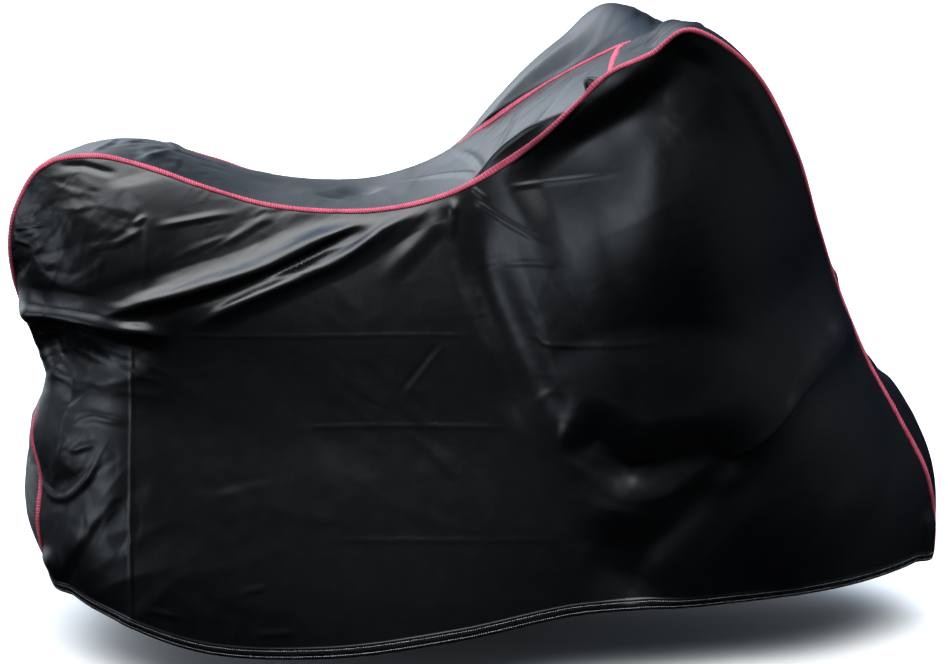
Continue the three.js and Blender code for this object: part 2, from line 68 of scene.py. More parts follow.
def table_of(kind, *rows):
    """The rows of a table as tuples of that kind."""
    return [kind(*row) for row in rows]


# Seam stations, from the rear hem over the hump, the dip and the peak to the front hem: a point
# of each seam, and how far the centre panel bulges out midway between them.
STATIONS = table_of(
    Station,
    ("rear hem", (-934, -118, 86), (-936, 120, 88), 20),
    ("rear foot", (-947, -170, 205), (-946, 172, 205), 50),
    ("rear foot, high", (-937, -166, 310), (-938, 168, 310), 54),
    ("below the notch", (-954, -146, 405), (-950, 150, 405), 20),
    ("notch", (-922, -98, 505), (-930, 110, 507), 10),
    ("under the hump", (-950, -96, 612), (-952, 108, 615), 12),
    ("hump, low", (-974, -154, 735), (-968, 160, 735), 20),
    ("hump, high", (-964, -182, 850), (-950, 180, 825), 30),
    ("rear corner", (-905, -180, 956), (-892, 182, 912), 16),
    ("hump crown", (-800, -180, 980), (-792, 184, 955), 20),
    ("hump, falling", (-690, -180, 955), (-700, 184, 955), 26),
    ("dip, rear", (-580, -179, 915), (-590, 182, 926), 16),
    ("dip", (-465, -175, 880), (-475, 180, 888), 4),
    ("dip", (-345, -170, 864), (-350, 178, 875), 0),
    ("dip, middle", (-225, -170, 866), (-225, 175, 883), 2),
    ("dip, front", (-110, -170, 890), (-105, 172, 923), 6),
    ("foot of the slope", (-10, -184, 938), (0, 168, 992), 8),
    ("slope", (90, -230, 1015), (95, 140, 1062), 10),
    ("slope", (160, -272, 1090), (175, 105, 1115), 8),
    ("cross seam", (216, -312, 1150), (286, 50, 1176), 6),
    ("below the peak", (290, -340, 1188), (350, 46, 1188), 12),
    ("peak", (368, -360, 1234), (415, 50, 1194), 22),
    ("front, high", (500, -315, 1148), (518, 70, 1136), 16),
    ("front", (597, -260, 990), (606, 105, 990), 14),
    ("front", (660, -200, 835), (664, 134, 835), 12),
    ("front, low", (726, -118, 690), (730, 116, 690), 10),
    ("front foot, high", (788, -150, 540), (786, 152, 540), 14),
    ("front foot", (857, -167, 415), (858, 168, 415), 46),
    ("front foot, low", (935, -150, 268), (938, 155, 268), 40),
    ("front hem", (976, -76, 80), (976, 80, 82), 12),
)
REAR_CORNER = 8
CROSS_SEAM = 19
PEAK = 21
LAST = len(STATIONS) - 1

# Cross sections of the side panels: at is the share of the way from the rear corner to the
# peak; shoulder, waist and hem are points below the top seam.
SECTIONS = {
    "right": table_of(
        Section,
        (0.125, (-815, -266, 745), (-800, -268, 395), (-800, -285, 50)),
        (0.25, (-595, -262, 690), (-600, -320, 350), (-590, -375, -1)),
        (0.375, (-350, -256, 655), (-345, -336, 330), (-340, -420, 1)),
        (0.5, (-115, -250, 665), (-100, -335, 340), (-90, -420, 31)),
        (0.625, (35, -252, 725), (110, -320, 395), (170, -368, 63)),
        (0.75, (205, -325, 820), (320, -356, 430), (430, -330, 62)),
        (0.875, (365, -382, 930), (560, -330, 500), (740, -262, 75)),
    ),
    "left": table_of(
        Section,
        (0.125, (-815, 266, 745), (-800, 265, 395), (-800, 285, 60)),
        (0.25, (-595, 285, 690), (-600, 330, 350), (-590, 368, 20)),
        (0.375, (-350, 290, 690), (-345, 375, 340), (-340, 410, 6)),
        (0.5, (-120, 270, 790), (-100, 385, 400), (-90, 412, 12)),
        (0.625, (50, 280, 1018), (100, 375, 520), (170, 376, 40)),
        (0.75, (180, 330, 1145), (290, 372, 590), (430, 338, 60)),
        (0.875, (320, 348, 1208), (530, 348, 590), (740, 264, 84)),
    ),
}
SHOULDER = 2 / 8
WAIST = 5 / 8

# Broad swells: centre, half length, half height, turn in degrees and rise
SWELLS = {
    "right": table_of(
        Swell,
        ("pouch below the peak", 300, 680, 340, 400, 0, 14),
        ("foot of the pouch", 330, 500, 250, 170, 0, 16),
        ("tuck under the hump", -850, 600, 190, 80, 0, -22),
        ("lower front", 650, 310, 260, 170, 55, 12),
        ("lower middle", -250, 200, 460, 240, 0, 6),
    ),
    "left": table_of(
        Swell,
        ("pouch below the peak", 330, 800, 330, 380, 0, 22),
        ("tuck under the hump", -850, 590, 200, 80, 0, -22),
        ("lower front", 680, 320, 240, 150, 50, 20),
        ("lower middle", -200, 240, 460, 240, 0, 14),
    ),
}

# Large folds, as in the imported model: path is a line of x, z points, rise is the height of the
# ridge or, below zero, the depth of the groove. left and right are its widths on each side of
# the path, crest its roundness, start and end the shares of the path over which it fades.
FOLDS = {
    "right": table_of(
        Fold,
        ("upper fan ridge", [(-45, 895), (-190, 858), (-320, 820), (-480, 752), (-620, 714), (-745, 684),
         (-810, 672)], 18, 28, 48, 0.15, 0.35, 0.15),
        ("lower fan ridge", [(-50, 900), (-130, 872), (-222, 826), (-290, 782), (-440, 720), (-530, 682),
         (-620, 640)], 15, 36, 32, 0.12, 0.1, 0.25),
        ("hump ledge", [(-960, 657), (-880, 660), (-815, 655), (-725, 642), (-637, 622)],
         24, 56, 34, 0.12, 0.05, 0.3),
        ("trough", [(-48, 900), (-41, 770), (-13, 690), (16, 615), (41, 500), (72, 455), (124, 390)],
         -20, 90, 46, 0.3, 0.35, 0.3),
        ("flank of the pouch", [(20, 850), (48, 760), (85, 660), (130, 560), (190, 470)],
         5, 80, 60, 0.5, 0.3, 0.3),
        ("foot of the pouch", [(136, 451), (205, 420), (270, 372), (362, 390), (451, 405), (570, 455)],
         -34, 84, 70, 0.4, 0.15, 0.4),
        ("ledge ridge", [(470, 400), (385, 338), (300, 272), (215, 275), (140, 300)],
         22, 70, 90, 0.3, 0.2, 0.3),
        ("long valley", [(750, 590), (600, 488), (493, 390), (383, 290), (300, 180), (245, 70)],
         -24, 110, 110, 0.5, 0.2, 0.1),
        ("hollow under the slope seam", [(12, 925), (126, 985), (200, 1025), (288, 1095), (344, 1165),
         (365, 1200)], -16, 90, 300, 0.35, 0.15, 0.25),
        ("drape", [(-640, 630), (-525, 525), (-435, 440), (-295, 310), (-190, 235)],
         7, 70, 100, 0.5, 0.3, 0.4),
    ),
    "left": table_of(
        Fold,
        ("fan ridge", [(-20, 950), (-150, 850), (-300, 775), (-460, 705), (-640, 650)],
         24, 56, 50, 0.2, 0.1, 0.3),
        ("low fan ridge", [(0, 930), (-90, 790), (-210, 660), (-340, 560), (-470, 480)],
         22, 60, 56, 0.3, 0.15, 0.4),
        ("hump ledge", [(-955, 672), (-860, 660), (-770, 655), (-680, 640)], 22, 70, 40, 0.15, 0.05, 0.3),
        ("trough", [(20, 900), (25, 760), (70, 620), (120, 500), (200, 400), (300, 345)],
         -36, 50, 44, 0.3, 0.25, 0.25),
        ("ridge off the peak", [(290, 1130), (330, 900), (400, 700), (500, 520)],
         20, 70, 90, 0.4, 0.2, 0.4),
        ("long valley", [(760, 600), (640, 500), (540, 380), (470, 250), (420, 90)],
         -38, 100, 100, 0.5, 0.2, 0.1),
        ("drape", [(-620, 560), (-480, 420), (-350, 300), (-230, 180)], 16, 76, 70, 0.5, 0.3, 0.3),
    ),
}

# Fine creases, in the same columns. Those named softer, end of, top of and edge over take back
# a part of a large fold that is stronger than it should look.
CREASES = {
    "right": table_of(
        Fold,
        ("tuck under the hump seam", [(-870, 958), (-815, 960), (-775, 950), (-740, 944)],
         -3, 10, 12, 0.2, 0.3, 0.3),
        ("pack facet, hump", [(-731, 940), (-723, 858), (-720, 704)], 6, 110, 50, 0.1, 0.1, 0.3),
        ("pack line, hump", [(-692, 878), (-694, 800), (-702, 704)], 2, 24, 7, 0.1, 0.2, 0.3),
        ("hump wrinkle, upper", [(-771, 803), (-731, 821), (-692, 843)], 3, 14, 10, 0.2, 0.4, 0.4),
        ("hump wrinkle, short", [(-720, 845), (-705, 855), (-690, 865)], 3, 9, 8, 0.2, 0.4, 0.4),
        ("line right of the hump", [(-685, 840), (-585, 855), (-510, 865)], 3, 12, 9, 0.2, 0.3, 0.4),
        ("upper fan line", [(-790, 675), (-742, 686), (-693, 701), (-622, 714), (-549, 735), (-477, 755),
         (-402, 782), (-317, 823), (-224, 852)], 6, 22, 12, 0.2, 0.1, 0.4),
        ("lower fan line", [(-619, 639), (-528, 686), (-439, 720), (-347, 753), (-287, 784), (-222, 829),
         (-130, 872)], 4.5, 14, 14, 0.2, 0.2, 0.3),
        ("shade between the fan lines", [(-254, 838), (-389, 773), (-482, 738)], -4, 14, 14, 0.3, 0.2, 0.4),
        ("soft fan ridge", [(-96, 862), (-150, 804), (-190, 764), (-239, 709)], 6, 30, 26, 0.3, 0.2, 0.5),
        ("steep fan ridge", [(-80, 890), (-82, 850), (-88, 800)], 5, 14, 14, 0.3, 0.3, 0.5),
        ("hump ledge line", [(-950, 660), (-878, 664), (-814, 658), (-727, 645), (-637, 625)],
         12.5, 22, 10, 0.1, 0.08, 0.3),
        ("ledge line, second", [(-935, 622), (-905, 626), (-875, 622)], 3, 10, 6, 0.2, 0.3, 0.4),
        ("ledge line, third", [(-935, 606), (-910, 608), (-885, 604)], 2.5, 8, 6, 0.2, 0.3, 0.4),
        ("pack line, long", [(-637, 630), (-412, 625), (-200, 624), (-31, 622)], 1.1, 5, 5, 0.2, 0.1, 0.1),
        ("pack line, front", [(54, 617), (82, 623), (105, 610), (226, 618), (336, 632)],
         1.6, 6, 5, 0.2, 0.2, 0.2),
        ("pack line, tall", [(-728, 616), (-732, 403), (-739, 97), (-741, 45)], 1.6, 6, 6, 0.2, 0.1, 0.1),
        ("pack line, middle tall", [(-407, 625), (-408, 541), (-410, 446)], 1.4, 6, 5, 0.2, 0.1, 0.1),
        ("pack line, middle long", [(-395, 445), (-196, 447), (31, 440)], 1.4, 6, 5, 0.2, 0.1, 0.1),
        ("pack line, low", [(-357, 232), (-100, 228), (155, 217)], 1.4, 6, 5, 0.2, 0.2, 0.2),
        ("ray from the rear seam", [(-962, 812), (-940, 808), (-915, 803)], 2.5, 7, 7, 0.2, 0.1, 0.5),
        ("ray from the rear seam, high", [(-958, 834), (-920, 842), (-870, 852)], 3, 10, 7, 0.2, 0.1, 0.5),
        ("fan wrinkle", [(-595, 800), (-560, 812), (-530, 825)], 1, 9, 8, 0.2, 0.4, 0.4),
        ("fan wrinkle", [(-565, 795), (-530, 812), (-500, 830)], 1, 9, 8, 0.2, 0.4, 0.4),
        ("fan wrinkle", [(-505, 775), (-485, 790), (-465, 805)], 1, 9, 8, 0.2, 0.4, 0.4),
        ("fan wrinkle, long", [(-440, 862), (-490, 832), (-545, 803)], 1.4, 12, 12, 0.3, 0.3, 0.4),
        ("bright crease", [(-40, 884), (35, 838), (113, 804)], 3.2, 10, 8, 0.15, 0.1, 0.4),
        ("small crease", [(-45, 910), (-25, 895), (-5, 882)], 3, 7, 7, 0.2, 0.2, 0.5),
        ("hollow beside the slope seam", [(12, 925), (126, 985), (200, 1025), (288, 1095), (344, 1170),
         (371, 1210)], -24, 84, 170, 0.25, 0.4, 0.55),
        ("upper end of the hollow", [(126, 985), (200, 1025), (288, 1095), (344, 1165), (371, 1210)],
         9, 90, 300, 0.35, 0.7, 0.3),
        ("hollow beside the slope seam, high", [(200, 1025), (288, 1095), (344, 1170), (371, 1210)],
         -16, 60, 80, 0.25, 0.5, 0.15),
        ("end of the trough", [(-13, 690), (16, 615), (41, 500), (72, 455), (124, 390)],
         9, 60, 46, 0.3, 0.7, 0.3),
        ("roll over the rear seam", [(-955, 735), (-945, 670), (-935, 600), (-905, 520), (-925, 450),
         (-935, 400)], 16, 45, 30, 0.5, 0.2, 0.25),
        ("roll over the front seam", [(655, 810), (680, 740), (712, 660), (740, 590), (770, 540)],
         12, 28, 60, 0.5, 0.5, 0.3),
        ("roll at the rear corner of the hem", [(-930, 170), (-915, 120), (-900, 60)],
         14, 30, 30, 0.5, 0.3, 0.05),
        ("roll at the front corner of the hem", [(940, 210), (945, 150), (950, 60)],
         14, 30, 30, 0.5, 0.3, 0.05),
        ("light line", [(10, 910), (131, 934), (260, 965)], 2.2, 8, 7, 0.2, 0.2, 0.5),
        ("smudge", [(6, 759), (74, 770), (143, 766)], 1.8, 10, 8, 0.2, 0.4, 0.4),
        ("slanting groove", [(-112, 612), (-164, 549), (-215, 485)], -1.8, 9, 9, 0.2, 0.2, 0.5),
        ("slanting line", [(-98, 610), (-150, 547), (-201, 483)], 1.3, 7, 8, 0.2, 0.2, 0.5),
        ("pouch edge", [(-36, 634), (-2, 574), (24, 506), (29, 449)], 1.4, 20, 12, 0.2, 0.3, 0.4),
        ("drape, softer", [(-640, 630), (-525, 525), (-435, 440), (-295, 310), (-190, 235)],
         -5, 70, 100, 0.5, 0.3, 0.4),
        ("ledge ridge, softer", [(470, 400), (385, 338), (300, 272), (215, 275), (140, 300)],
         -8, 70, 90, 0.3, 0.2, 0.3),
        ("foot of the pouch, softer", [(136, 451), (205, 420), (270, 372), (362, 390), (451, 405),
         (570, 455)], 12.5, 84, 70, 0.4, 0.3, 0.4),
        ("left end of the pouch foot", [(120, 455), (170, 440), (235, 405), (275, 378)],
         12, 84, 60, 0.4, 0.3, 0.6),
        ("end of the pouch foot", [(400, 390), (451, 405), (570, 455), (620, 480)],
         8, 84, 70, 0.4, 0.35, 0.2),
        ("edge over the valley", [(760, 630), (680, 570), (585, 495), (475, 400), (380, 310)],
         19.5, 72, 150, 0.12, 0.15, 0.4),
        ("top of the valley", [(750, 590), (600, 488), (493, 390), (383, 290)],
         22, 110, 110, 0.5, 0.31, 0.45),
        ("pouch foot line", [(136, 451), (205, 425), (242, 401), (272, 371), (362, 393), (451, 406)],
         -4, 14, 40, 0.15, 0.2, 0.3),
        ("facet, left edge", [(157, 399), (206, 373), (246, 354), (285, 300)], 1, 14, 18, 0.3, 0.2, 0.3),
        ("facet, lower edge", [(455, 392), (385, 340), (330, 300), (296, 273)], 3, 16, 30, 0.2, 0.2, 0.3),
        ("facet, foot", [(154, 312), (204, 290), (296, 273)], 1.5, 20, 14, 0.3, 0.3, 0.3),
        ("valley line", [(747, 590), (600, 491), (493, 390), (383, 295), (300, 180), (257, 88), (245, 60)],
         -3, 30, 40, 0.3, 0.2, 0.05),
        ("ridge beside the valley", [(640, 500), (543, 420), (446, 301), (368, 196), (287, 88)],
         7, 60, 50, 0.2, 0.3, 0.2),
        ("second soft ridge", [(741, 314), (673, 247), (621, 154), (600, 80)], 5, 50, 40, 0.4, 0.3, 0.1),
        ("rear foot hook", [(-937, 310), (-930, 297), (-903, 281), (-866, 292), (-820, 343), (-800, 395)],
         4.5, 12, 14, 0.15, 0.1, 0.3),
        ("rear foot ridge", [(-870, 430), (-820, 455), (-785, 455), (-730, 450)],
         3.5, 16, 14, 0.2, 0.3, 0.3),
        ("rear foot line", [(-870, 382), (-835, 396), (-800, 411)], 3, 10, 10, 0.2, 0.3, 0.3),
        ("rear foot plane", [(-740, 335), (-805, 260), (-860, 185), (-905, 100)], 6, 22, 60, 0.2, 0.2, 0.1),
        ("low crease", [(-715, 81), (-670, 76), (-625, 70)], 2.2, 8, 7, 0.2, 0.4, 0.4),
        ("low crease", [(-505, 45), (-450, 49), (-390, 55)], 2.2, 8, 7, 0.2, 0.4, 0.4),
        ("low crease", [(-530, 124), (-490, 135), (-450, 146)], 2.2, 9, 7, 0.2, 0.4, 0.4),
        ("front shoulder", [(450, 1160), (510, 1075), (560, 975), (590, 900)], 5, 34, 34, 0.3, 0.2, 0.4),
    ),
    "left": table_of(
        Fold,
        ("ray to the far peak", [(-5, 985), (80, 1080), (165, 1155), (245, 1215)],
         8, 20, 26, 0.1, 0.05, 0.3),
        ("ray to the far peak", [(10, 985), (110, 1065), (200, 1120), (290, 1165)],
         7, 20, 20, 0.1, 0.05, 0.3),
        ("ray to the far peak, low", [(40, 1000), (130, 1050), (220, 1085), (320, 1120)],
         -6, 20, 20, 0.2, 0.05, 0.3),
        ("fan line", [(-50, 925), (-150, 862), (-300, 785), (-470, 712)], 5, 14, 16, 0.15, 0.1, 0.4),
        ("low fan line", [(-10, 915), (-90, 800), (-210, 672), (-350, 560)], 5, 16, 12, 0.15, 0.1, 0.4),
        ("hump ledge line", [(-950, 680), (-860, 668), (-770, 660), (-650, 640)],
         6, 30, 10, 0.12, 0.1, 0.3),
        ("hump wrinkle", [(-890, 880), (-800, 850), (-720, 800)], 4, 14, 12, 0.2, 0.2, 0.5),
        ("hump wrinkle, low", [(-930, 790), (-850, 780), (-780, 745)], 3.5, 12, 12, 0.2, 0.2, 0.5),
        ("pack line, long", [(-640, 628), (-400, 630), (-150, 632), (350, 630)], 1.6, 6, 5, 0.2, 0.1, 0.1),
        ("pack line, tall", [(-560, 860), (-562, 600), (-564, 300), (-566, 60)], 1.6, 6, 6, 0.2, 0.1, 0.1),
        ("pack line, front tall", [(110, 980), (110, 700), (112, 400), (114, 100)],
         1.4, 6, 6, 0.2, 0.1, 0.1),
        ("trough line", [(20, 900), (22, 770), (68, 625), (118, 500), (195, 402)],
         -6, 14, 12, 0.2, 0.2, 0.3),
        ("pouch foot line", [(190, 470), (280, 420), (380, 410), (500, 440)], -6, 14, 14, 0.2, 0.3, 0.3),
        ("facet edge", [(200, 400), (290, 330), (400, 350), (500, 400)], 5, 14, 16, 0.2, 0.3, 0.3),
        ("valley line", [(760, 600), (640, 500), (540, 380), (470, 250), (420, 70)],
         -8, 32, 30, 0.3, 0.2, 0.05),
        ("ridge beside the valley", [(790, 560), (690, 450), (600, 330), (540, 200), (500, 80)],
         8, 28, 26, 0.2, 0.2, 0.2),
        ("rear foot hook", [(-935, 320), (-890, 296), (-850, 320), (-820, 390)],
         5.5, 12, 12, 0.15, 0.1, 0.3),
        ("rear foot plane", [(-750, 345), (-815, 250), (-880, 120)], 8, 50, 18, 0.2, 0.2, 0.1),
        ("slanting line", [(-250, 640), (-200, 560), (-160, 470)], 3.5, 10, 10, 0.2, 0.3, 0.5),
        ("slanting line", [(-420, 420), (-330, 330), (-260, 230)], 3.5, 12, 14, 0.2, 0.3, 0.5),
    ),
}

# Patches of small uneven wrinkles: an ellipse turned by so many degrees, the distance between
# wrinkles, how many times longer than that they are, their height and the seed of their noise.
RIPPLES = {
    "right": table_of(
        Ripple,
        ("hump side", -830, 830, 170, 150, 20, 34, 3, 1.5, 11),
        ("hump side, fine", -840, 860, 150, 110, 65, 20, 2.5, 1, 12),
        ("under the ledge", -800, 560, 200, 120, -15, 36, 3, 2, 13),
        ("fan", -450, 790, 320, 100, 22, 30, 4.5, 0.7, 14),
        ("fan foot", -180, 830, 140, 80, 40, 22, 4, 0.7, 15),
        ("middle", -250, 540, 300, 110, -48, 32, 3, 1.4, 16),
        ("middle, broad", -420, 420, 360, 260, -35, 75, 3, 1.1, 17),
        ("trough side", 60, 700, 110, 170, 65, 26, 4, 0.3, 18),
        ("pouch", 330, 780, 330, 350, 10, 110, 2, 1.5, 19),
        ("pouch foot", 310, 400, 240, 110, 15, 32, 3, 0.8, 20),
        ("lower front", 600, 290, 300, 200, 48, 60, 3.5, 1.3, 21),
        ("lower middle", -50, 170, 420, 180, -20, 70, 2.5, 2, 22),
        ("lower rear", -620, 180, 280, 200, 25, 65, 2.5, 2.5, 23),
        ("rear foot", -850, 330, 120, 230, 55, 36, 3, 2.5, 24),
        ("front slope", 640, 820, 150, 260, -65, 50, 4, 1.5, 25),
        ("whole", 0, 500, 1300, 900, 15, 20, 2, 0.35, 26),
    ),
    "left": table_of(
        Ripple,
        ("hump side", -830, 810, 170, 150, -20, 34, 3, 2.25, 31),
        ("under the ledge", -800, 540, 200, 120, 10, 36, 3, 2, 32),
        ("fan", -400, 790, 320, 120, 25, 32, 4.5, 2, 33),
        ("middle", -200, 500, 320, 140, -50, 36, 3, 1.6, 34),
        ("middle, broad", -350, 380, 360, 260, -40, 80, 3, 2.5, 35),
        ("pouch", 330, 820, 330, 350, 5, 110, 2, 1.75, 36),
        ("pouch foot", 350, 430, 240, 110, 20, 34, 3, 2.5, 37),
        ("lower front", 640, 280, 300, 200, 50, 60, 3.5, 3, 38),
        ("lower middle", -50, 160, 420, 180, -15, 70, 2.5, 2.25, 39),
        ("lower rear", -620, 180, 280, 200, 30, 65, 2.5, 2.5, 40),
        ("front slope", 640, 820, 150, 260, -65, 50, 4, 1.75, 41),
        ("whole", 0, 500, 1300, 900, -10, 20, 2, 0.35, 42),
    ),
}

# Patches of short straight creases with flat flanks: an ellipse turned by so many degrees, how
# far the creases turn from it, how many there are, their length, width and rise, and a seed.
CRUMPLES = {
    "right": table_of(
        Crumple,
        ("hump side", -850, 850, 150, 120, 35, 50, 46, 60, 22, 1.9, 1),
        ("hump side, fine", -850, 850, 160, 140, 20, 80, 60, 30, 11, 0.9, 2),
        ("hump side, broad", -820, 830, 190, 160, 40, 40, 12, 120, 45, 4.2, 3),
        ("beside the rear seam", -940, 810, 50, 90, 10, 25, 16, 40, 9, 1.8, 4),
        ("fan", -450, 800, 300, 90, 24, 14, 40, 110, 18, 1.4, 5),
        ("fan, fine", -520, 800, 180, 70, 28, 14, 30, 45, 11, 0.8, 6),
        ("under the ledge", -840, 560, 140, 100, 0, 60, 26, 60, 22, 2.6, 7),
        ("rear foot", -850, 330, 110, 220, 60, 40, 34, 70, 26, 3.4, 8),
        ("middle", -250, 540, 300, 110, -45, 30, 30, 60, 22, 1.4, 9),
        ("low rear", -600, 180, 300, 170, 15, 50, 24, 110, 40, 1.8, 10),
        ("pouch", 150, 700, 220, 200, 5, 60, 50, 50, 16, 0.4, 11),
        ("pouch foot", 260, 330, 220, 120, 30, 40, 26, 80, 30, 0.8, 12),
        ("lower front", 640, 280, 280, 190, 50, 25, 24, 130, 45, 1.4, 13),
        ("whole", 0, 500, 1300, 900, 0, 90, 160, 60, 25, 0.8, 14),
    ),
    "left": table_of(
        Crumple,
        ("hump side", -850, 830, 150, 120, -35, 50, 46, 60, 22, 3, 21),
        ("hump side, broad", -820, 820, 190, 160, -30, 40, 12, 120, 45, 6, 22),
        ("fan", -400, 790, 300, 110, 24, 14, 40, 110, 18, 3, 23),
        ("under the ledge", -840, 550, 140, 100, 0, 60, 26, 60, 22, 2.6, 24),
        ("rear foot", -850, 330, 110, 220, 60, 40, 34, 70, 26, 3.4, 25),
        ("middle", -200, 520, 300, 120, -45, 30, 30, 60, 22, 1.6, 26),
        ("low rear", -600, 180, 300, 170, 15, 50, 24, 110, 40, 2.8, 27),
        ("pouch", 250, 760, 260, 220, 5, 60, 50, 50, 16, 1.3, 28),
        ("pouch foot", 300, 360, 220, 120, 30, 40, 26, 80, 30, 3.6, 29),
        ("lower front", 660, 280, 280, 190, 50, 25, 24, 130, 45, 3.6, 30),
        ("far peak", 250, 1120, 200, 130, 45, 15, 22, 140, 24, 4, 31),
        ("whole", 0, 500, 1300, 900, 0, 90, 160, 60, 25, 0.8, 32),
    ),
}

# On the centre panel x is the station number times STATION_LENGTH and z the way across from
# the right seam, out of STRIP_WIDTH, which are here in metres.
STATION_LENGTH = 0.110
STRIP_WIDTH = 0.350
STRIP_FOLDS = table_of(
    Fold,
    ("dent in the dip", [(1452, 130), (1485, 190), (1529, 240)], -10, 60, 60, 0.4, 0.3, 0.3),
)
STRIP_CREASES = table_of(
    Fold,
    ("step beside the slope seam", [(1700, 3), (1765, 17), (1835, 23), (1900, 19), (1970, 4)],
     30, 16, 110, 0.2, 0.45, 0.45),
    ("notch beside the slope seam", [(2000, 4), (2032, 14), (2064, 4)], 20, 10, 60, 0.2, 0.45, 0.45),
    ("roll along the far edge of the dip", [(1240, 322), (1330, 320), (1450, 318), (1580, 318), (1700, 322),
     (1780, 326)], 9, 26, 100, 0.5, 0.15, 0.2),
    ("roll before the far peak", [(2090, 326), (2180, 312), (2270, 310), (2350, 312), (2440, 318)],
     15, 34, 130, 0.6, 0.25, 0.3),
    ("slope ray", [(1740, 15), (1700, 90), (1640, 170), (1560, 250)], 4, 16, 14, 0.2, 0.1, 0.5),
    ("slope ray", [(1750, 15), (1740, 110), (1715, 220), (1690, 300)], 5, 14, 16, 0.2, 0.1, 0.5),
    ("slope ray", [(1760, 15), (1790, 100), (1830, 200), (1850, 300)], 4.5, 14, 14, 0.2, 0.1, 0.5),
    ("slope ray", [(1770, 20), (1850, 80), (1950, 150), (2040, 260)], 4.5, 14, 14, 0.2, 0.1, 0.5),
    ("hump wrinkle", [(980, 20), (1010, 110), (1000, 220)], 4, 14, 12, 0.2, 0.2, 0.4),
    ("hump wrinkle", [(1080, 15), (1110, 90), (1140, 180)], 4.5, 12, 14, 0.2, 0.2, 0.4),
    ("hump wrinkle", [(1150, 330), (1120, 230), (1160, 130)], 4, 14, 14, 0.2, 0.2, 0.4),
    ("dip wave", [(1370, 20), (1400, 150), (1380, 330)], 2.2, 60, 40, 0.3, 0.2, 0.3),
    ("dip wave", [(1600, 330), (1580, 200), (1610, 60)], 2.2, 50, 60, 0.3, 0.2, 0.3),
    ("peak facet", [(2310, 330), (2250, 230), (2200, 150), (2130, 60)], 6, 20, 16, 0.2, 0.1, 0.4),
    ("peak facet", [(2330, 330), (2330, 220), (2310, 80)], 5, 16, 18, 0.2, 0.1, 0.4),
    ("tail fold", [(640, 30), (600, 150), (620, 320)], 6, 20, 22, 0.3, 0.2, 0.3),
    ("notch fold", [(470, 20), (450, 140), (480, 330)], -7, 24, 22, 0.3, 0.2, 0.2),
    ("front fold", [(2700, 30), (2780, 170), (2700, 320)], 6, 26, 22, 0.3, 0.2, 0.3),
    ("front foot fold", [(2880, 30), (2930, 170), (2890, 320)], -7, 30, 24, 0.3, 0.2, 0.2),
)
STRIP_RIPPLES = table_of(
    Ripple,
    ("rear foot", 200, 175, 260, 200, 80, 50, 3, 2, 51),
    ("tail", 680, 175, 300, 200, 10, 36, 3, 1.75, 52),
    ("hump", 1060, 150, 200, 200, 60, 28, 3, 2, 53),
    ("dip", 1480, 200, 240, 200, 75, 50, 3, 1.75, 54),
    ("slope", 1900, 180, 240, 200, 35, 60, 3, 1.3, 55),
    ("peak", 2300, 180, 180, 200, 50, 36, 3, 2, 56),
    ("front", 2650, 180, 300, 200, 15, 60, 3, 2, 57),
    ("front foot", 3050, 180, 220, 200, 10, 45, 3, 2.25, 58),
    ("whole", 1600, 175, 2300, 600, 20, 20, 2, 0.2, 59),
)
STRIP_CRUMPLES = table_of(
    Crumple,
    ("rear foot", 200, 175, 260, 180, 80, 40, 30, 70, 26, 3.4, 41),
    ("tail", 700, 175, 260, 180, 0, 60, 30, 60, 24, 3, 42),
    ("hump", 1060, 170, 200, 170, 50, 40, 34, 70, 22, 3.2, 43),
    ("dip", 1450, 180, 240, 170, 75, 25, 16, 110, 30, 0.8, 44),
    ("slope", 1900, 180, 240, 170, 25, 25, 20, 110, 22, 1.2, 45),
    ("peak", 2300, 180, 180, 170, 50, 40, 20, 70, 24, 3, 46),
    ("front", 2700, 180, 300, 170, 10, 50, 26, 80, 30, 3.2, 47),
    ("front foot", 3050, 180, 220, 170, 10, 60, 24, 70, 26, 3.4, 48),
    ("whole", 1600, 175, 2300, 600, 20, 90, 120, 50, 22, 0.8, 49),
)

# The folded hem, from the cloth above it down to its edge: height above the edge and how far
# it stands out of the cloth. The two dips are the lines of stitches.
HEM_STEPS = table_of(
    HemStep,
    (27.5, 0), (25, 0), (24, 0.9), (22.5, 1.4), (19.5, 1.4), (18, 0.6), (16.5, 1.4), (12, 1.6), (7.5, 1.4),
    (6, 0.6), (4.5, 1.4), (1.5, 1.2), (0, 0.2),
)
STITCH_LINES = (5, 9)
ROWS_FOR_HEM = 8

# How far from the sewn edges large folds and fine creases fade in
SEAM_FADE = 0.075
CREASE_FADE = 0.014

# Steps of the meshes and of a fold's path, and how much closer than even steps the first ones are
PATH_STEPS = 6
SIDE_ROWS = 209
SIDE_COLUMNS = 360
FIRST_ROW_SHARE = 0.64
FIRST_COLUMN_SHARE = 0.68
STRIP_ROWS_PER_STATION = 24
STRIP_COLUMNS = 78

# Gathers along the seams and along the hem: height, length along, length across and reach
SEAM_PUCKER = 0.0016
PUCKER_LENGTH = 0.026
PUCKER_DEPTH = 0.06
PUCKER_REACH = 0.020
HEM_PUCKER = 0.0022
HEM_PUCKER_LENGTH = 0.045
HEM_PUCKER_DEPTH = 0.2
HEM_PUCKER_REACH = 0.045

NOISE_SIZE = 61
TAPE_INSET = 3
TAPE_ROUNDING = 0.08
TAPE_EVENING = 0.012
STITCH_SLANT = 0.3
TAPE_UNEVEN = ((0.40, 0.12, 90), (0.16, 0.02, 91))
WHOLE_TURN = 6.2832
THREAD_TWIST = 9000.0
FLOOR_REACH = 60.0
DOME_REACH = 58.0
SQUARE = ((-1, -1), (1, -1), (1, 1), (-1, 1))

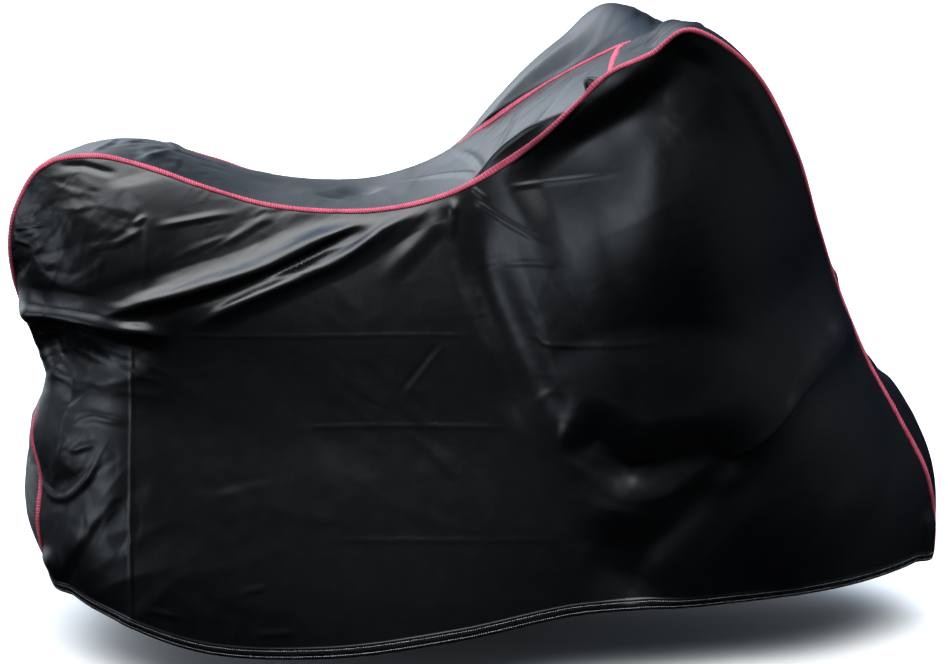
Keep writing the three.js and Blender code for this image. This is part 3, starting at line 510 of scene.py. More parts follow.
# Directions and colours of the patches of sky
BEHIND = (-0.60, 0.65, 0.45)
REAR = (-0.90, -0.43, 0.12)
FRONT = (0.95, -0.30, 0.05)
WHITE_SKY = (0.98, 0.99, 1.0)
PALE_SKY = (0.82, 0.90, 1.0)
HAZY_SKY = (0.78, 0.89, 1.0)
BLUE_SKY = (0.46, 0.68, 1.0)


def ease(q):
    """0 below 0, 1 above 1, and 3 q squared minus 2 q cubed between."""
    c = np.clip(q, 0.0, 1.0)
    return c * c * (3.0 - 2.0 * c)


def unit(vectors):
    """Each vector over its own length."""
    return vectors / np.maximum(np.linalg.norm(vectors, axis=-1, keepdims=True), 1e-12)


def smooth_curve(points, at, knots=None):
    """A cubic through the points, whose slope at a point is the mean of the slopes beside it.

    Each of the two slopes is weighted by the other one's spacing. points may be an array of
    any shape after its first axis, and then every curve is worked out at once.
    """
    p = np.asarray(points, float)
    t = np.arange(len(p), dtype=float) if knots is None else np.asarray(knots, float)
    at = np.asarray(at, float)
    widen = (-1,) + (1,) * (p.ndim - 1)
    span = np.diff(t).reshape(widen)
    slope = np.diff(p, axis=0) / span
    tangent = np.empty_like(p)
    tangent[1:-1] = (slope[:-1] * span[1:] + slope[1:] * span[:-1]) / (span[:-1] + span[1:])
    tangent[0] = 2.0 * slope[0] - tangent[1]
    tangent[-1] = 2.0 * slope[-1] - tangent[-2]
    i = np.clip(np.searchsorted(t, at, side="right") - 1, 0, len(p) - 2)
    s = ((at - t[i]) / np.diff(t)[i]).reshape(widen)
    h = span[i]
    return (p[i] * (2 * s**3 - 3 * s**2 + 1) + tangent[i] * (s**3 - 2 * s**2 + s) * h
            + p[i + 1] * (3 * s**2 - 2 * s**3) + tangent[i + 1] * (s**3 - s**2) * h)


def seam_line(side, at):
    """Points of the right or left seam at those station numbers."""
    return MILLIMETRE * smooth_curve([getattr(s, side) for s in STATIONS], at)


def grid_normals(grid, outwards):
    """Unit normals: at each point, the sum over the cells around it of the cross product of
    the cell's diagonals, turned by outwards (1 or -1)."""
    cell = np.cross(grid[1:, 1:] - grid[:-1, :-1], grid[1:, :-1] - grid[:-1, 1:])
    sums = np.zeros_like(grid)
    for rows in (slice(None, -1), slice(1, None)):
        for columns in (slice(None, -1), slice(1, None)):
            sums[rows, columns] += cell
    return outwards * unit(sums)


def side_surface(side, u, v):
    """A side panel: u from the rear corner 0 to the peak 1, v from the top seam 0 to the hem 1.

    Each column is a cubic through the top seam and the shoulder, waist and hem lines. What is
    missing at the rear and front seams is added back, times (1 - u)^4 and u^6.
    """
    top = seam_line(side, REAR_CORNER + u * (PEAK - REAR_CORNER))
    rear = seam_line(side, REAR_CORNER * (1 - v))
    front = seam_line(side, PEAK + v * (LAST - PEAK))
    sections = SECTIONS[side]
    knots = [0.0] + [s.at for s in sections] + [1.0]
    lines = [top]
    for key, share in (("shoulder", SHOULDER), ("waist", WAIST), ("hem", 1.0)):
        first = seam_line(side, [REAR_CORNER * (1 - share)])
        last = seam_line(side, [PEAK + share * (LAST - PEAK)])
        middle = MILLIMETRE * np.array([getattr(s, key) for s in sections])
        lines.append(smooth_curve(np.vstack([first, middle, last]), u, knots))
    grid = smooth_curve(np.stack(lines), v, [0.0, SHOULDER, WAIST, 1.0])
    missing_rear = (rear - grid[:, 0])[:, None]
    missing_front = (front - grid[:, -1])[:, None]
    return grid + missing_rear * ((1 - u) ** 4)[None, :, None] + missing_front * (u**6)[None, :, None]


def fold_profile(q, crest):
    """Height of a fold at q half widths from its path: 1 on the path and 0 from q = 1 on."""
    reach = np.hypot(1.0, crest) - crest
    w = np.clip(1.0 - (np.hypot(q, crest) - crest) / reach, 0.0, 1.0)
    return 0.5 * (w + ease(w) * w)


def fold_height(fold, a, b):
    """Rise of a fold over the plane (a, b): its profile at the distance from the nearest point
    of its path, faded in and out along the path. Its left is the left of the path's direction."""
    steps = (len(fold.path) - 1) * PATH_STEPS
    line = smooth_curve(fold.path, np.arange(steps + 1) / PATH_STEPS)
    reach = max(fold.left, fold.right)
    height = np.zeros_like(a)
    near = ((a > line[:, 0].min() - reach) & (a < line[:, 0].max() + reach)
            & (b > line[:, 1].min() - reach) & (b < line[:, 1].max() + reach))
    pa, pb = a[near], b[near]
    best = np.full(pa.shape, np.inf)
    side = np.ones(pa.shape)
    along = np.zeros(pa.shape)
    lengths = np.linalg.norm(np.diff(line, axis=0), axis=1)
    before = 0.0
    for start, end, length in zip(line[:-1], line[1:], lengths):
        da, db = (end - start) / length
        s = np.clip((pa - start[0]) * da + (pb - start[1]) * db, 0.0, length)
        distance = np.hypot(pa - start[0] - s * da, pb - start[1] - s * db)
        closer = distance < best
        best = np.where(closer, distance, best)
        side = np.where(closer, da * (pb - start[1]) - db * (pa - start[0]), side)
        along = np.where(closer, before + s, along)
        before += length
    share = along / before
    q = best / np.where(side >= 0.0, fold.left, fold.right)
    fade = ease(share / fold.start) * ease((1.0 - share) / fold.end)
    height[near] = fold.rise * fold_profile(q, fold.crest) * fade
    return height


def in_ellipse(patch, x, z):
    """Distances from the centre of an ellipse turned by patch.turn, along it and across it."""
    turn = np.radians(patch.turn)
    dx, dz = x - patch.x, z - patch.z
    return dx * np.cos(turn) + dz * np.sin(turn), dz * np.cos(turn) - dx * np.sin(turn)


def swell_height(swell, x, z):
    """Rise of a broad swell: ease(1 - p^2 - q^2) in half lengths of its ellipse."""
    p, q = in_ellipse(swell, x, z)
    return swell.rise * ease(1.0 - (p / swell.long) ** 2 - (q / swell.high) ** 2)


def noise(a, b, seed):
    """Smooth random values from 0 to 1: one at each whole a and b, eased between."""
    table = np.random.RandomState(seed).random_sample((NOISE_SIZE, NOISE_SIZE))
    i, j = np.floor(a).astype(int), np.floor(b).astype(int)
    s, t = ease(a - i), ease(b - j)
    i, j, after_i, after_j = (n % NOISE_SIZE for n in (i, j, i + 1, j + 1))
    low = table[i, j] * (1 - s) + table[after_i, j] * s
    high = table[i, after_j] * (1 - s) + table[after_i, after_j] * s
    return low * (1 - t) + high * t


def wrinkle(a, b, seed):
    """Uneven ridges from 0 to 1: (1 - |2 n - 1|)^2 of a noise n, times a broader noise. Another
    broad noise shifts the place of n, so that the ridges bend and fork."""
    shift = 1.4 * noise(a * 0.4, b * 0.4, seed + 500)
    n = noise(a + shift, b + shift, seed)
    return (1.0 - np.abs(2.0 * n - 1.0)) ** 2 * noise(a * 0.3, b * 0.7, seed + 900)


def ripple_height(ripple, x, z):
    """Small wrinkles along the long axis of an ellipse, faded to nothing at its edge, by
    ease(1.4 (1 - p^2 - q^2)) in half lengths of the ellipse."""
    p, q = in_ellipse(ripple, x, z)
    inside = ease(1.4 * (1.0 - (p / ripple.long) ** 2 - (q / ripple.high) ** 2))
    return ripple.rise * inside * wrinkle(q / ripple.pitch, p / (ripple.pitch * ripple.stretch), ripple.seed)


def crumple_height(crumple, x, z):
    """Scattered low roofs with flat flanks, faded at the edge of their ellipse.

    Each is its rise times 1 - |p| / length - |q| / width, where that is above 0; its ridge is
    a little rounded and one flank is much wider than the other.
    """
    random = np.random.RandomState(crumple.seed)
    p, q = in_ellipse(crumple, x, z)
    height = np.zeros_like(x)
    for _ in range(crumple.count):
        away, angle = random.random_sample() ** 0.5, random.uniform(0.0, 2 * np.pi)
        turn = np.radians(crumple.spread) * random.uniform(-1.0, 1.0)
        length, width = crumple.crease * random.uniform(0.5, 1.4), crumple.width * random.uniform(0.6, 1.5)
        wide, narrow = width * random.uniform(1.0, 1.8), width * random.uniform(0.4, 0.8)
        rise = crumple.rise * random.uniform(-1.0, 1.0)
        dp, dq = p - crumple.long * away * np.cos(angle), q - crumple.high * away * np.sin(angle)
        near = np.hypot(dp, dq) < length + wide
        a = dp[near] * np.cos(turn) + dq[near] * np.sin(turn)
        b = dq[near] * np.cos(turn) - dp[near] * np.sin(turn)
        side = np.hypot(b, 0.1 * width) / np.where(b > 0.0, wide, narrow)
        height[near] += rise * np.clip(1.0 - side - np.abs(a) / length, 0.0, 1.0)
    return height * ease(2.0 * (1.2 - (p / crumple.long) ** 2 - (q / crumple.high) ** 2))


def relief(x, z, swells=(), folds=(), ripples=(), crumples=()):
    """The sum of all swells, folds, ripples and crumples at x, z in metres."""
    x, z = x / MILLIMETRE, z / MILLIMETRE
    height = np.zeros_like(x)
    for swell in swells:
        height += swell_height(swell, x, z)
    for fold in folds:
        height += fold_height(fold, x, z)
    for ripple in ripples:
        height += ripple_height(ripple, x, z)
    for crumple in crumples:
        height += crumple_height(crumple, x, z)
    return MILLIMETRE * height


def lengths_along(grid, axis):
    """Length from the first row or column to each point, along that axis of the grid."""
    steps = np.linalg.norm(np.diff(grid, axis=axis), axis=-1)
    padding = [(0, 0), (0, 0)]
    padding[axis] = (1, 0)
    return np.pad(np.cumsum(steps, axis=axis), padding)


def pucker(along, away, seed):
    """Gathers beside a seam: a wrinkle across it that dies out with the distance away."""
    return wrinkle(along / PUCKER_LENGTH, away / PUCKER_DEPTH, seed) * np.exp(-away / PUCKER_REACH)


def crowded(count, share):
    """Steps from 0 to 1, the first ones only that share of an even step: t (share + (1 - share) t)."""
    t = np.linspace(0, 1, count + 1)
    return t * (share + (1.0 - share) * t)


def edge_mask(distances, reach):
    """0 on the sewn edges and 1 from reach on: the product of ease(distance / reach) to each."""
    return np.prod([ease(d / reach) for d in distances], axis=0)


def side_grid(side, outwards, cloth):
    """The draped outer face of a side panel: its surface, raised along its normals by the large
    folds and then by the fine creases, each fading out at the sewn edges."""
    columns, rows_down = crowded(SIDE_COLUMNS, FIRST_COLUMN_SHARE), crowded(SIDE_ROWS, FIRST_ROW_SHARE)
    grid = side_surface(side, columns, rows_down)
    from_seams = [np.linalg.norm(grid - edge, axis=-1) for edge in (grid[:1], grid[:, :1], grid[:, -1:])]
    mask = edge_mask(from_seams, SEAM_FADE)
    height = relief(grid[..., 0], grid[..., 2], SWELLS[side], FOLDS[side])
    grid = grid + grid_normals(grid, outwards) * (height * mask)[..., None]
    mask = edge_mask(from_seams, CREASE_FADE)
    height = relief(grid[..., 0], grid[..., 2], (), CREASES[side], RIPPLES[side], CRUMPLES[side])
    across, down = lengths_along(grid, 1), lengths_along(grid, 0)
    for n, (along, away) in enumerate(zip((across, down, down), from_seams)):
        height += SEAM_PUCKER * pucker(along, away, 70 + n)
    above = down[-1:] - down
    gathers = wrinkle(across / HEM_PUCKER_LENGTH, above / HEM_PUCKER_DEPTH, 77)
    height += HEM_PUCKER * gathers * np.exp(-above / HEM_PUCKER_REACH)
    return grid + grid_normals(grid, outwards) * (cloth.crease_share * height * mask)[..., None]


def centre_grid(cloth):
    """The draped outer face of the whole centre panel, one row for each step along the seams.

    Each row is a straight line between the seams, raised by its crown times 4 w (1 - w), with
    the folds and creases of its own tables.
    """
    at = np.linspace(0, LAST, LAST * STRIP_ROWS_PER_STATION + 1)
    w = np.linspace(0, 1, STRIP_COLUMNS + 1)
    right, left = seam_line("right", at), seam_line("left", at)
    crown = MILLIMETRE * smooth_curve([s.crown for s in STATIONS], at)
    along = np.gradient(right + left, axis=0)
    outward = -unit(np.cross(left - right, along))
    x, z = np.meshgrid(at * STATION_LENGTH, w * STRIP_WIDTH, indexing="ij")
    from_seams = [z, STRIP_WIDTH - z]
    mask = edge_mask(from_seams, SEAM_FADE)
    height = crown[:, None] * 4 * w * (1 - w) + mask * relief(x, z, (), STRIP_FOLDS)
    grid = right[:, None] + (left - right)[:, None] * w[None, :, None] + outward[:, None] * height[..., None]
    mask = edge_mask(from_seams, CREASE_FADE)
    height = relief(x, z, (), STRIP_CREASES, STRIP_RIPPLES, STRIP_CRUMPLES)
    for n, away in enumerate(from_seams):
        height += SEAM_PUCKER * pucker(x, away, 80 + n)
    return grid + grid_normals(grid, -1) * (cloth.crease_share * height * mask)[..., None]


def add_hem(grid, outwards):
    """Puts a folded hem in place of the last rows: rows at the hem's own heights above the
    edge, measured along each column, and raised along the normals by its steps."""
    step = np.linalg.norm(grid[-1] - grid[-1 - ROWS_FOR_HEM], axis=-1) / ROWS_FOR_HEM
    steps = MILLIMETRE * np.array(HEM_STEPS)
    above = steps[:, :1] + 0.0 * step
    gap = step * ROWS_FOR_HEM - above[0]
    above = np.vstack([above[0] + gap * 2 / 3, above[0] + gap / 3, above])
    place = len(grid) - 1 - above / step
    below = np.clip(place.astype(int), 0, len(grid) - 2)
    share = (place - below)[..., None]
    columns = np.arange(grid.shape[1])
    hem = grid[below, columns] * (1 - share) + grid[below + 1, columns] * share
    raised = np.concatenate([[0.0, 0.0], steps[:, 1]])
    return np.vstack([grid[:-ROWS_FOR_HEM], hem + grid_normals(hem, outwards) * raised[:, None, None]])


def inner_face(outer, outwards, thickness):
    """Every other point of the outer face, moved in by the thickness and by however far the
    points around it lie below its tangent plane, so that the coarser face never shows through."""
    normals = grid_normals(outer, outwards)[::2, ::2]
    points = outer[::2, ::2]
    padded = np.pad(outer, ((2, 2), (2, 2), (0, 0)), mode="edge")
    rows, columns = outer.shape[:2]
    lowest = np.zeros(points.shape[:2])
    for j in range(5):
        for i in range(5):
            around = padded[j:j + rows:2, i:i + columns:2]
            lowest = np.maximum(lowest, np.sum((points - around) * normals, axis=-1))
    return points - normals * (thickness + lowest)[..., None]


def new_piece(name, points, polygons, uv, material):
    """A smooth mesh piece from points, arrays of polygons with equal numbers of corners, and
    one UV place for each point, in metres."""
    mesh = bpy.data.meshes.new(name)
    corners = np.concatenate([p.ravel() for p in polygons])
    sizes = np.concatenate([np.full(len(p), p.shape[1]) for p in polygons])
    mesh.vertices.add(len(points))
    mesh.vertices.foreach_set("co", np.asarray(points, np.float32).ravel())
    mesh.loops.add(len(corners))
    mesh.loops.foreach_set("vertex_index", corners.astype(np.int32))
    mesh.polygons.add(len(sizes))
    starts = np.concatenate([[0], np.cumsum(sizes)[:-1]])
    mesh.polygons.foreach_set("loop_start", starts.astype(np.int32))
    mesh.update(calc_edges=True)
    mesh.polygons.foreach_set("use_smooth", np.ones(len(sizes), bool))
    layer = mesh.uv_layers.new(name="cloth")
    layer.uv.foreach_set("vector", np.asarray(uv, np.float32)[corners].ravel())
    mesh.materials.append(material)
    if mesh.validate():
        raise RuntimeError(f"{name} has a face that is no use")
    piece = bpy.data.objects.new(name, mesh)
    bpy.context.scene.collection.objects.link(piece)
    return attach(piece, "root")


def cloth_piece(name, outer, outwards, thickness, material):
    """A sheet with a fine outer face and an inner face of half its rows and columns, closed
    round its edges by five-sided faces."""
    inner = inner_face(outer, outwards, thickness)
    fine = np.arange(outer.shape[0] * outer.shape[1]).reshape(outer.shape[:2])
    coarse = np.arange(inner.shape[0] * inner.shape[1]).reshape(inner.shape[:2]) + fine.size

    def cells(n):
        return np.stack([n[:-1, :-1], n[:-1, 1:], n[1:, 1:], n[1:, :-1]], axis=-1).reshape(-1, 4)

    def rim(f, c):
        return np.stack([f[2::2], f[1::2], f[:-2:2], c[:-1], c[1:]], axis=-1)

    edges = np.concatenate([
        rim(fine[0], coarse[0]), rim(fine[-1], coarse[-1])[:, ::-1],
        rim(fine[:, 0], coarse[:, 0])[:, ::-1], rim(fine[:, -1], coarse[:, -1]),
    ])
    polygons = [cells(fine), cells(coarse)[:, ::-1], edges]
    if outwards < 0:
        polygons = [p[:, ::-1] for p in polygons]
    across, down = lengths_along(outer, 1), lengths_along(outer, 0)
    uv = np.stack([across - across[:, across.shape[1] // 2][:, None], down], axis=-1)
    points = np.concatenate([outer.reshape(-1, 3), inner.reshape(-1, 3)])
    uvs = np.concatenate([uv.reshape(-1, 2), uv[::2, ::2].reshape(-1, 2)])
    return new_piece(name, points, polygons, uvs, material)


def resample(points, count, *others):
    """The line at count equal steps of its length, and the other lines at the same places."""
    length = np.concatenate([[0.0], np.cumsum(np.linalg.norm(np.diff(points, axis=0), axis=1))])
    places = np.linspace(0, length[-1], count)
    lines = [
        np.stack([np.interp(places, length, column) for column in line.T], axis=-1)
        for line in (points, *others)
    ]
    return lines if others else lines[0]


def smoothed(vectors, reach):
    """Each vector as the mean of those up to reach places before and after it, made unit length."""
    padded = np.pad(vectors, ((reach, reach), (0, 0)), mode="edge")
    sums = np.cumsum(np.vstack([np.zeros((1, 3)), padded]), axis=0)
    width = 2 * reach + 1
    return unit(sums[width:] - sums[:-width])


def sewn_edge(grid, reach):
    """The sewn edge of a side panel, up the rear, along the top and down the front, with the
    point that lies reach cells inside each."""
    last = grid.shape[1] - 1
    rows = np.maximum(np.arange(grid.shape[0]), reach)
    columns = np.clip(np.arange(1, last), reach, last - reach)
    edge = np.concatenate([grid[::-1, 0], grid[0, 1:last], grid[:, last]])
    inside = np.concatenate([grid[rows[::-1], reach], grid[reach, columns], grid[rows, last - reach]])
    return edge, inside


def tape_piece(name, edge_a, inside_a, edge_b, inside_b, turn, tape, material):
    """A binding tape along the seam between sheets a and b.

    Its section runs from sheet a over the seam to sheet b: at c from -1 to 1 it lies half its
    width times |c| into one sheet, rounded at the seam by (c + sqrt(c^2 + r)) / 2. It stands up
    by its height times 0.25 + 0.75 sqrt(1 - 0.98 c^4), plus a rib for every stitch, and reaches
    0.8 of its height into the cloth. Two noises along the seam make its width uneven.
    """
    length = np.linalg.norm(np.diff(edge_a, axis=0), axis=1).sum()
    count = int(length / tape.step)
    line, inside = resample(edge_a, count, inside_a)
    _, other = resample(edge_b, count, inside_b - edge_b)
    tangent = smoothed(np.gradient(line, axis=0), 4)
    reach = int(TAPE_EVENING / tape.step)

    def into(vectors):
        flat = vectors - np.sum(vectors * tangent, axis=1, keepdims=True) * tangent
        return smoothed(unit(flat), reach)

    into_a, into_b = into(inside - line), into(other)
    normal_a, normal_b = -turn * unit(np.cross(tangent, into_a)), turn * unit(np.cross(tangent, into_b))
    u = np.linspace(0, length, count)
    uneven = 1.0 + sum(part * (noise(u / pitch, 0 * u, seed) - 0.5) for part, pitch, seed in TAPE_UNEVEN)
    half = (tape.width / 2 * uneven)[:, None, None]

    def blend(a, b, share_a, share_b):
        return a[:, None] * share_a[None, :, None] + b[:, None] * share_b[None, :, None]

    def section(c, height):
        soft = np.hypot(c, TAPE_ROUNDING**0.5)
        share = ease((c + 1) / 2)
        foot = line[:, None] + half * blend(into_a, into_b, (soft - c) / 2, (soft + c) / 2)
        return foot + unit(blend(normal_a, normal_b, 1 - share, share)) * height[..., None]

    top = np.linspace(-1, 1, 9)
    slant = u[:, None] / tape.stitch_length + STITCH_SLANT * top[None]
    rib = tape.stitch_rise * np.abs(np.sin(np.pi * slant)) * (1 - top**4)[None]
    rise = tape.height * (0.25 + 0.75 * np.sqrt(1 - 0.98 * top**4))[None] + rib
    under = np.linspace(1, -1, 5)
    sunk = np.full((count, len(under)), -tape.height * 0.8)
    rings = np.concatenate([section(top, rise), section(under, sunk)], axis=1)
    size = rings.shape[1]
    n = np.arange(count * size).reshape(count, size)
    onward = np.roll(n, -1, axis=1)
    walls = np.stack([n[:-1], onward[:-1], onward[1:], n[1:]], axis=-1).reshape(-1, 4)
    caps = np.stack([n[0][::-1], n[-1]])
    polygons = [walls, caps]
    if turn < 0:
        polygons = [p[:, ::-1] for p in polygons]
    across = np.concatenate([top, under]) * tape.width / 2
    uv = np.stack(np.broadcast_arrays(u[:, None], across[None]), axis=-1).reshape(-1, 2)
    return new_piece(name, rings.reshape(-1, 3), polygons, uv, material)


def stitch_piece(name, lines, thread, material):
    """Rows of stitches along lines of (points, normals): each stitch is a small rounded bar."""
    ring = np.array([[0, 1], [-1, 0], [0, -1], [1, 0]]) * thread.thickness / 2
    template = np.concatenate([
        [[-thread.length / 2, 0, -thread.thickness * 0.3]],
        np.column_stack([np.full(4, -thread.length / 4), ring]),
        np.column_stack([np.full(4, thread.length / 4), ring]),
        [[thread.length / 2, 0, -thread.thickness * 0.3]],
    ])
    sides = [(k, (k + 1) % 4) for k in range(4)]
    tips = np.array([[0, 1 + b, 1 + a] for a, b in sides] + [[9, 5 + a, 5 + b] for a, b in sides])
    walls = np.array([[1 + a, 1 + b, 5 + b, 5 + a] for a, b in sides])
    places, frames = [], []
    for points, normals in lines:
        length = np.linalg.norm(np.diff(points, axis=0), axis=1).sum()
        line, up = resample(points, int(length / thread.pitch), normals)
        along = unit(np.gradient(line, axis=0))
        up = unit(up - np.sum(up * along, axis=1, keepdims=True) * along)
        places.append(line + up * thread.thickness * 0.25)
        frames.append(np.stack([along, np.cross(up, along), up], axis=1))
    places, frames = np.concatenate(places), np.concatenate(frames)
    points = places[:, None] + np.einsum("kc,scd->skd", template, frames)
    offset = (np.arange(len(places)) * len(template))[:, None, None]
    polygons = [(offset + tips[None]).reshape(-1, 3), (offset + walls[None]).reshape(-1, 4)]
    uv = np.broadcast_to(template[None, :, :2] + 0.01, (len(places), len(template), 2)).reshape(-1, 2)
    return new_piece(name, points.reshape(-1, 3), polygons, uv, material)


def plug(tree, made, **inputs):
    """Sets or links a node's inputs: _ stands for a space in a name, and _0 is the first input."""
    for key, value in inputs.items():
        socket = made.inputs[int(key[1:])] if key[1:].isdigit() else made.inputs[key.replace("_", " ")]
        if isinstance(value, bpy.types.NodeSocket):
            tree.links.new(value, socket)
        else:
            socket.default_value = value
    return made


def node(tree, kind, **inputs):
    """A new shader node with its inputs set or linked."""
    return plug(tree, tree.nodes.new(kind), **inputs)


def maths(tree, operation, a, b=0.0):
    """The result of a Math node."""
    made = node(tree, "ShaderNodeMath", _0=a, _1=b)
    made.operation = operation
    return made.outputs[0]


def total(tree, first, *others):
    """The sum of all values."""
    for other in others:
        first = maths(tree, "ADD", first, other)
    return first


def product(tree, first, *others):
    """The product of all values."""
    for other in others:
        first = maths(tree, "MULTIPLY", first, other)
    return first


def between(tree, value, low, high, start=0.0, end=1.0):
    """low where the value is start, high where it is end, and eased between."""
    made = node(tree, "ShaderNodeMapRange", Value=value, From_Min=start, From_Max=end)
    made.interpolation_type = "SMOOTHSTEP"
    return plug(tree, made, To_Min=low, To_Max=high).outputs[0]


def mixed(tree, share, first, second):
    """A colour between two colours."""
    made = tree.nodes.new("ShaderNodeMix")
    made.data_type = "RGBA"
    first, second = (c if isinstance(c, bpy.types.NodeSocket) else (*c, 1.0) for c in (first, second))
    return plug(tree, made, _0=share, _6=first, _7=second).outputs[2]


def split(tree, place):
    """The x, y and z of a place."""
    return node(tree, "ShaderNodeSeparateXYZ", Vector=place).outputs


def spots(tree, place, scale, detail=3.0):
    """A noise texture's value at that place."""
    return node(tree, "ShaderNodeTexNoise", Vector=place, Scale=scale, Detail=detail).outputs[0]


def bumped(tree, height, strength, distance, **below):
    """A normal bent by a height, over another one if that is given."""
    made = node(tree, "ShaderNodeBump", Height=height, Strength=strength, Distance=distance, **below)
    return made.outputs[0]


def material(name):
    """A new material: itself, its tree, its shader and its Object and UV coordinates."""
    made = bpy.data.materials.new(name)
    made.use_nodes = True
    tree = made.node_tree
    coordinates = tree.nodes.new("ShaderNodeTexCoord").outputs
    return made, tree, tree.nodes["Principled BSDF"], coordinates["Object"], coordinates["UV"]


def weave(tree, place, pitch):
    """Threads over and under: two sine waves across each other, together from 0 to 1."""
    waves = [maths(tree, "SINE", product(tree, part, WHOLE_TURN / pitch)) for part in split(tree, place)[:2]]
    return maths(tree, "MULTIPLY_ADD", total(tree, *waves), 0.25)


def cloth_material(cloth):
    """Coated cloth: near black with a faint uneven bloom, a fine weave and a crumpled grain."""
    made, tree, shader, place, uv = material("coated cloth")
    bloom = mixed(tree, spots(tree, place, 5.0, 5.0), cloth.dark, cloth.light)
    rough = between(tree, spots(tree, place, 28.0, 4.0), 0.22, 0.32)
    grain = bumped(tree, spots(tree, place, 240.0, 4.0), 0.35, 0.0002)
    fine = bumped(tree, weave(tree, uv, cloth.weave_pitch), 0.25, 0.00004, Normal=grain)
    plug(tree, shader, Base_Color=bloom, Roughness=rough, IOR=1.40, Normal=fine)
    return made


def tape_material(tape):
    """Rose binding: slanting overlock stitches in a lighter thread, with painted shade at both edges, where
    the rounded tape turns down into the cloth.
    """
    made, tree, shader, place, uv = material("binding tape")
    along, across, _ = split(tree, uv)
    slant = total(tree, along, product(tree, across, STITCH_SLANT))
    wave = maths(tree, "SINE", product(tree, slant, WHOLE_TURN / tape.stitch_length))
    thread = maths(tree, "POWER", maths(tree, "ABSOLUTE", wave), 2.0)
    from_middle = product(tree, maths(tree, "ABSOLUTE", across), 2.0 / tape.width)
    # The tape's colour turns darker towards both edges: painted shade where the rounded tape turns down into
    # the cloth.
    body = mixed(tree, maths(tree, "POWER", from_middle, 3.0), tape.colour, tape.shaded_edge_colour)
    patchy = spots(tree, place, 30.0)
    colour = mixed(tree, product(tree, thread, patchy, 1.8), body, tape.stitch_colour)
    ribs = total(tree, product(tree, thread, 0.6), product(tree, spots(tree, place, 900.0), 0.4))
    plug(tree, shader, Base_Color=colour, Roughness=between(tree, patchy, 0.55, 0.8),
         Specular_IOR_Level=0.25, Normal=bumped(tree, ribs, 0.5, 0.0006))
    return made


def thread_material(thread):
    """Pale sewing thread with a twist."""
    made, tree, shader, place, uv = material("hem thread")
    worn = tuple(0.55 * c for c in thread.colour)
    colour = mixed(tree, spots(tree, place, 60.0), thread.colour, worn)
    twist = maths(tree, "SINE", product(tree, split(tree, uv)[0], THREAD_TWIST))
    plug(tree, shader, Base_Color=colour, Roughness=0.7, Normal=bumped(tree, twist, 0.3, 0.0001))
    return made


def floor_material(colour):
    """A matt pale floor with very faint clouding."""
    made, tree, shader, place, _ = material("pale floor")
    clouded = mixed(tree, spots(tree, place, 0.8), colour, tuple(0.97 * c for c in colour))
    plug(tree, shader, Base_Color=clouded, Roughness=0.8)
    return made


def backdrop_dome(colour):
    """A pale dome round the stage that only the camera sees: z = r sin(rise), with the circle
    of radius r cos(rise) at each height."""
    turns, rises = np.linspace(0, 2 * np.pi, 65)[:-1], np.linspace(-0.5, np.pi / 2, 17)
    turn, rise = np.meshgrid(turns, rises, indexing="ij")
    ring = np.cos(rise)
    points = DOME_REACH * np.stack([np.cos(turn) * ring, np.sin(turn) * ring, np.sin(rise)], axis=-1)
    n = np.arange(turn.size).reshape(turn.shape)
    onward = np.roll(n, -1, axis=0)
    cells = np.stack([n[:, :-1], n[:, 1:], onward[:, 1:], onward[:, :-1]], axis=-1).reshape(-1, 4)
    mesh = bpy.data.meshes.new("backdrop")
    mesh.from_pydata(points.reshape(-1, 3).tolist(), [], cells.tolist())
    made, tree, shader, _, _ = material("pale backdrop")
    plug(tree, shader, Base_Color=(0.0, 0.0, 0.0, 1.0), Specular_IOR_Level=0.0,
         Emission_Color=(*colour, 1.0), Emission_Strength=1.0)
    mesh.materials.append(made)
    return bpy.data.objects.new("backdrop", mesh)


def glow(tree, way, place, power, tightness):
    """A soft bright patch of sky: power times the cosine of the angle from place, to a power."""
    cosine = node(tree, "ShaderNodeVectorMath", _0=way, _1=unit(np.array(place)))
    cosine.operation = "DOT_PRODUCT"
    ahead = maths(tree, "MAXIMUM", cosine.outputs["Value"])
    return product(tree, maths(tree, "POWER", ahead, tightness), power)


def soft_sky(stage):
    """Light of an open sky over dark ground.

    It is brightest overhead, darker beyond the far side, and faint near the horizon, fainter
    still at the front. Soft patches are added beyond the front, the rear and the far side.
    """
    world = bpy.data.worlds.new("open sky")
    world.use_nodes = True
    tree = world.node_tree
    way = tree.nodes.new("ShaderNodeTexCoord").outputs["Generated"]
    onward, across, rise = split(tree, way)
    overhead = between(tree, rise, stage.ground, stage.sky, 0.55, 1.0)
    overhead = product(tree, overhead, between(tree, across, 1.0, 0.18, -0.2, 0.5))
    low = between(tree, rise, 0.0, stage.low, -0.45, 0.25)
    low = product(tree, low, between(tree, onward, 1.0, 0.45, 0.10, 0.50))
    front = glow(tree, way, FRONT, stage.right, 5.0)
    rear = glow(tree, way, REAR, stage.left, 30.0)
    behind = glow(tree, way, BEHIND, stage.behind, 8.0)
    strength = total(tree, overhead, low, front, rear, behind)
    near_sky = mixed(tree, between(tree, rise, 0.0, 1.0, 0.5, 0.95), HAZY_SKY, WHITE_SKY)
    sky = mixed(tree, between(tree, across, 0.0, 1.0, -0.2, 0.5), near_sky, BLUE_SKY)
    colour = mixed(tree, maths(tree, "DIVIDE", behind, strength), sky, PALE_SKY)
    plug(tree, tree.nodes["Background"], Color=colour, Strength=strength)
    return world


def finish_once(name, make, settings):
    """The material of that name, made if it isn't there yet."""
    return bpy.data.materials.get(name) or make(settings)


def hem_lines(outer, outwards):
    """The two stitch lines of a sheet whose last rows are its hem, with their normals."""
    normals = grid_normals(outer, outwards)
    first = len(outer) - len(HEM_STEPS)
    return [(outer[first + k], normals[first + k]) for k in STITCH_LINES]


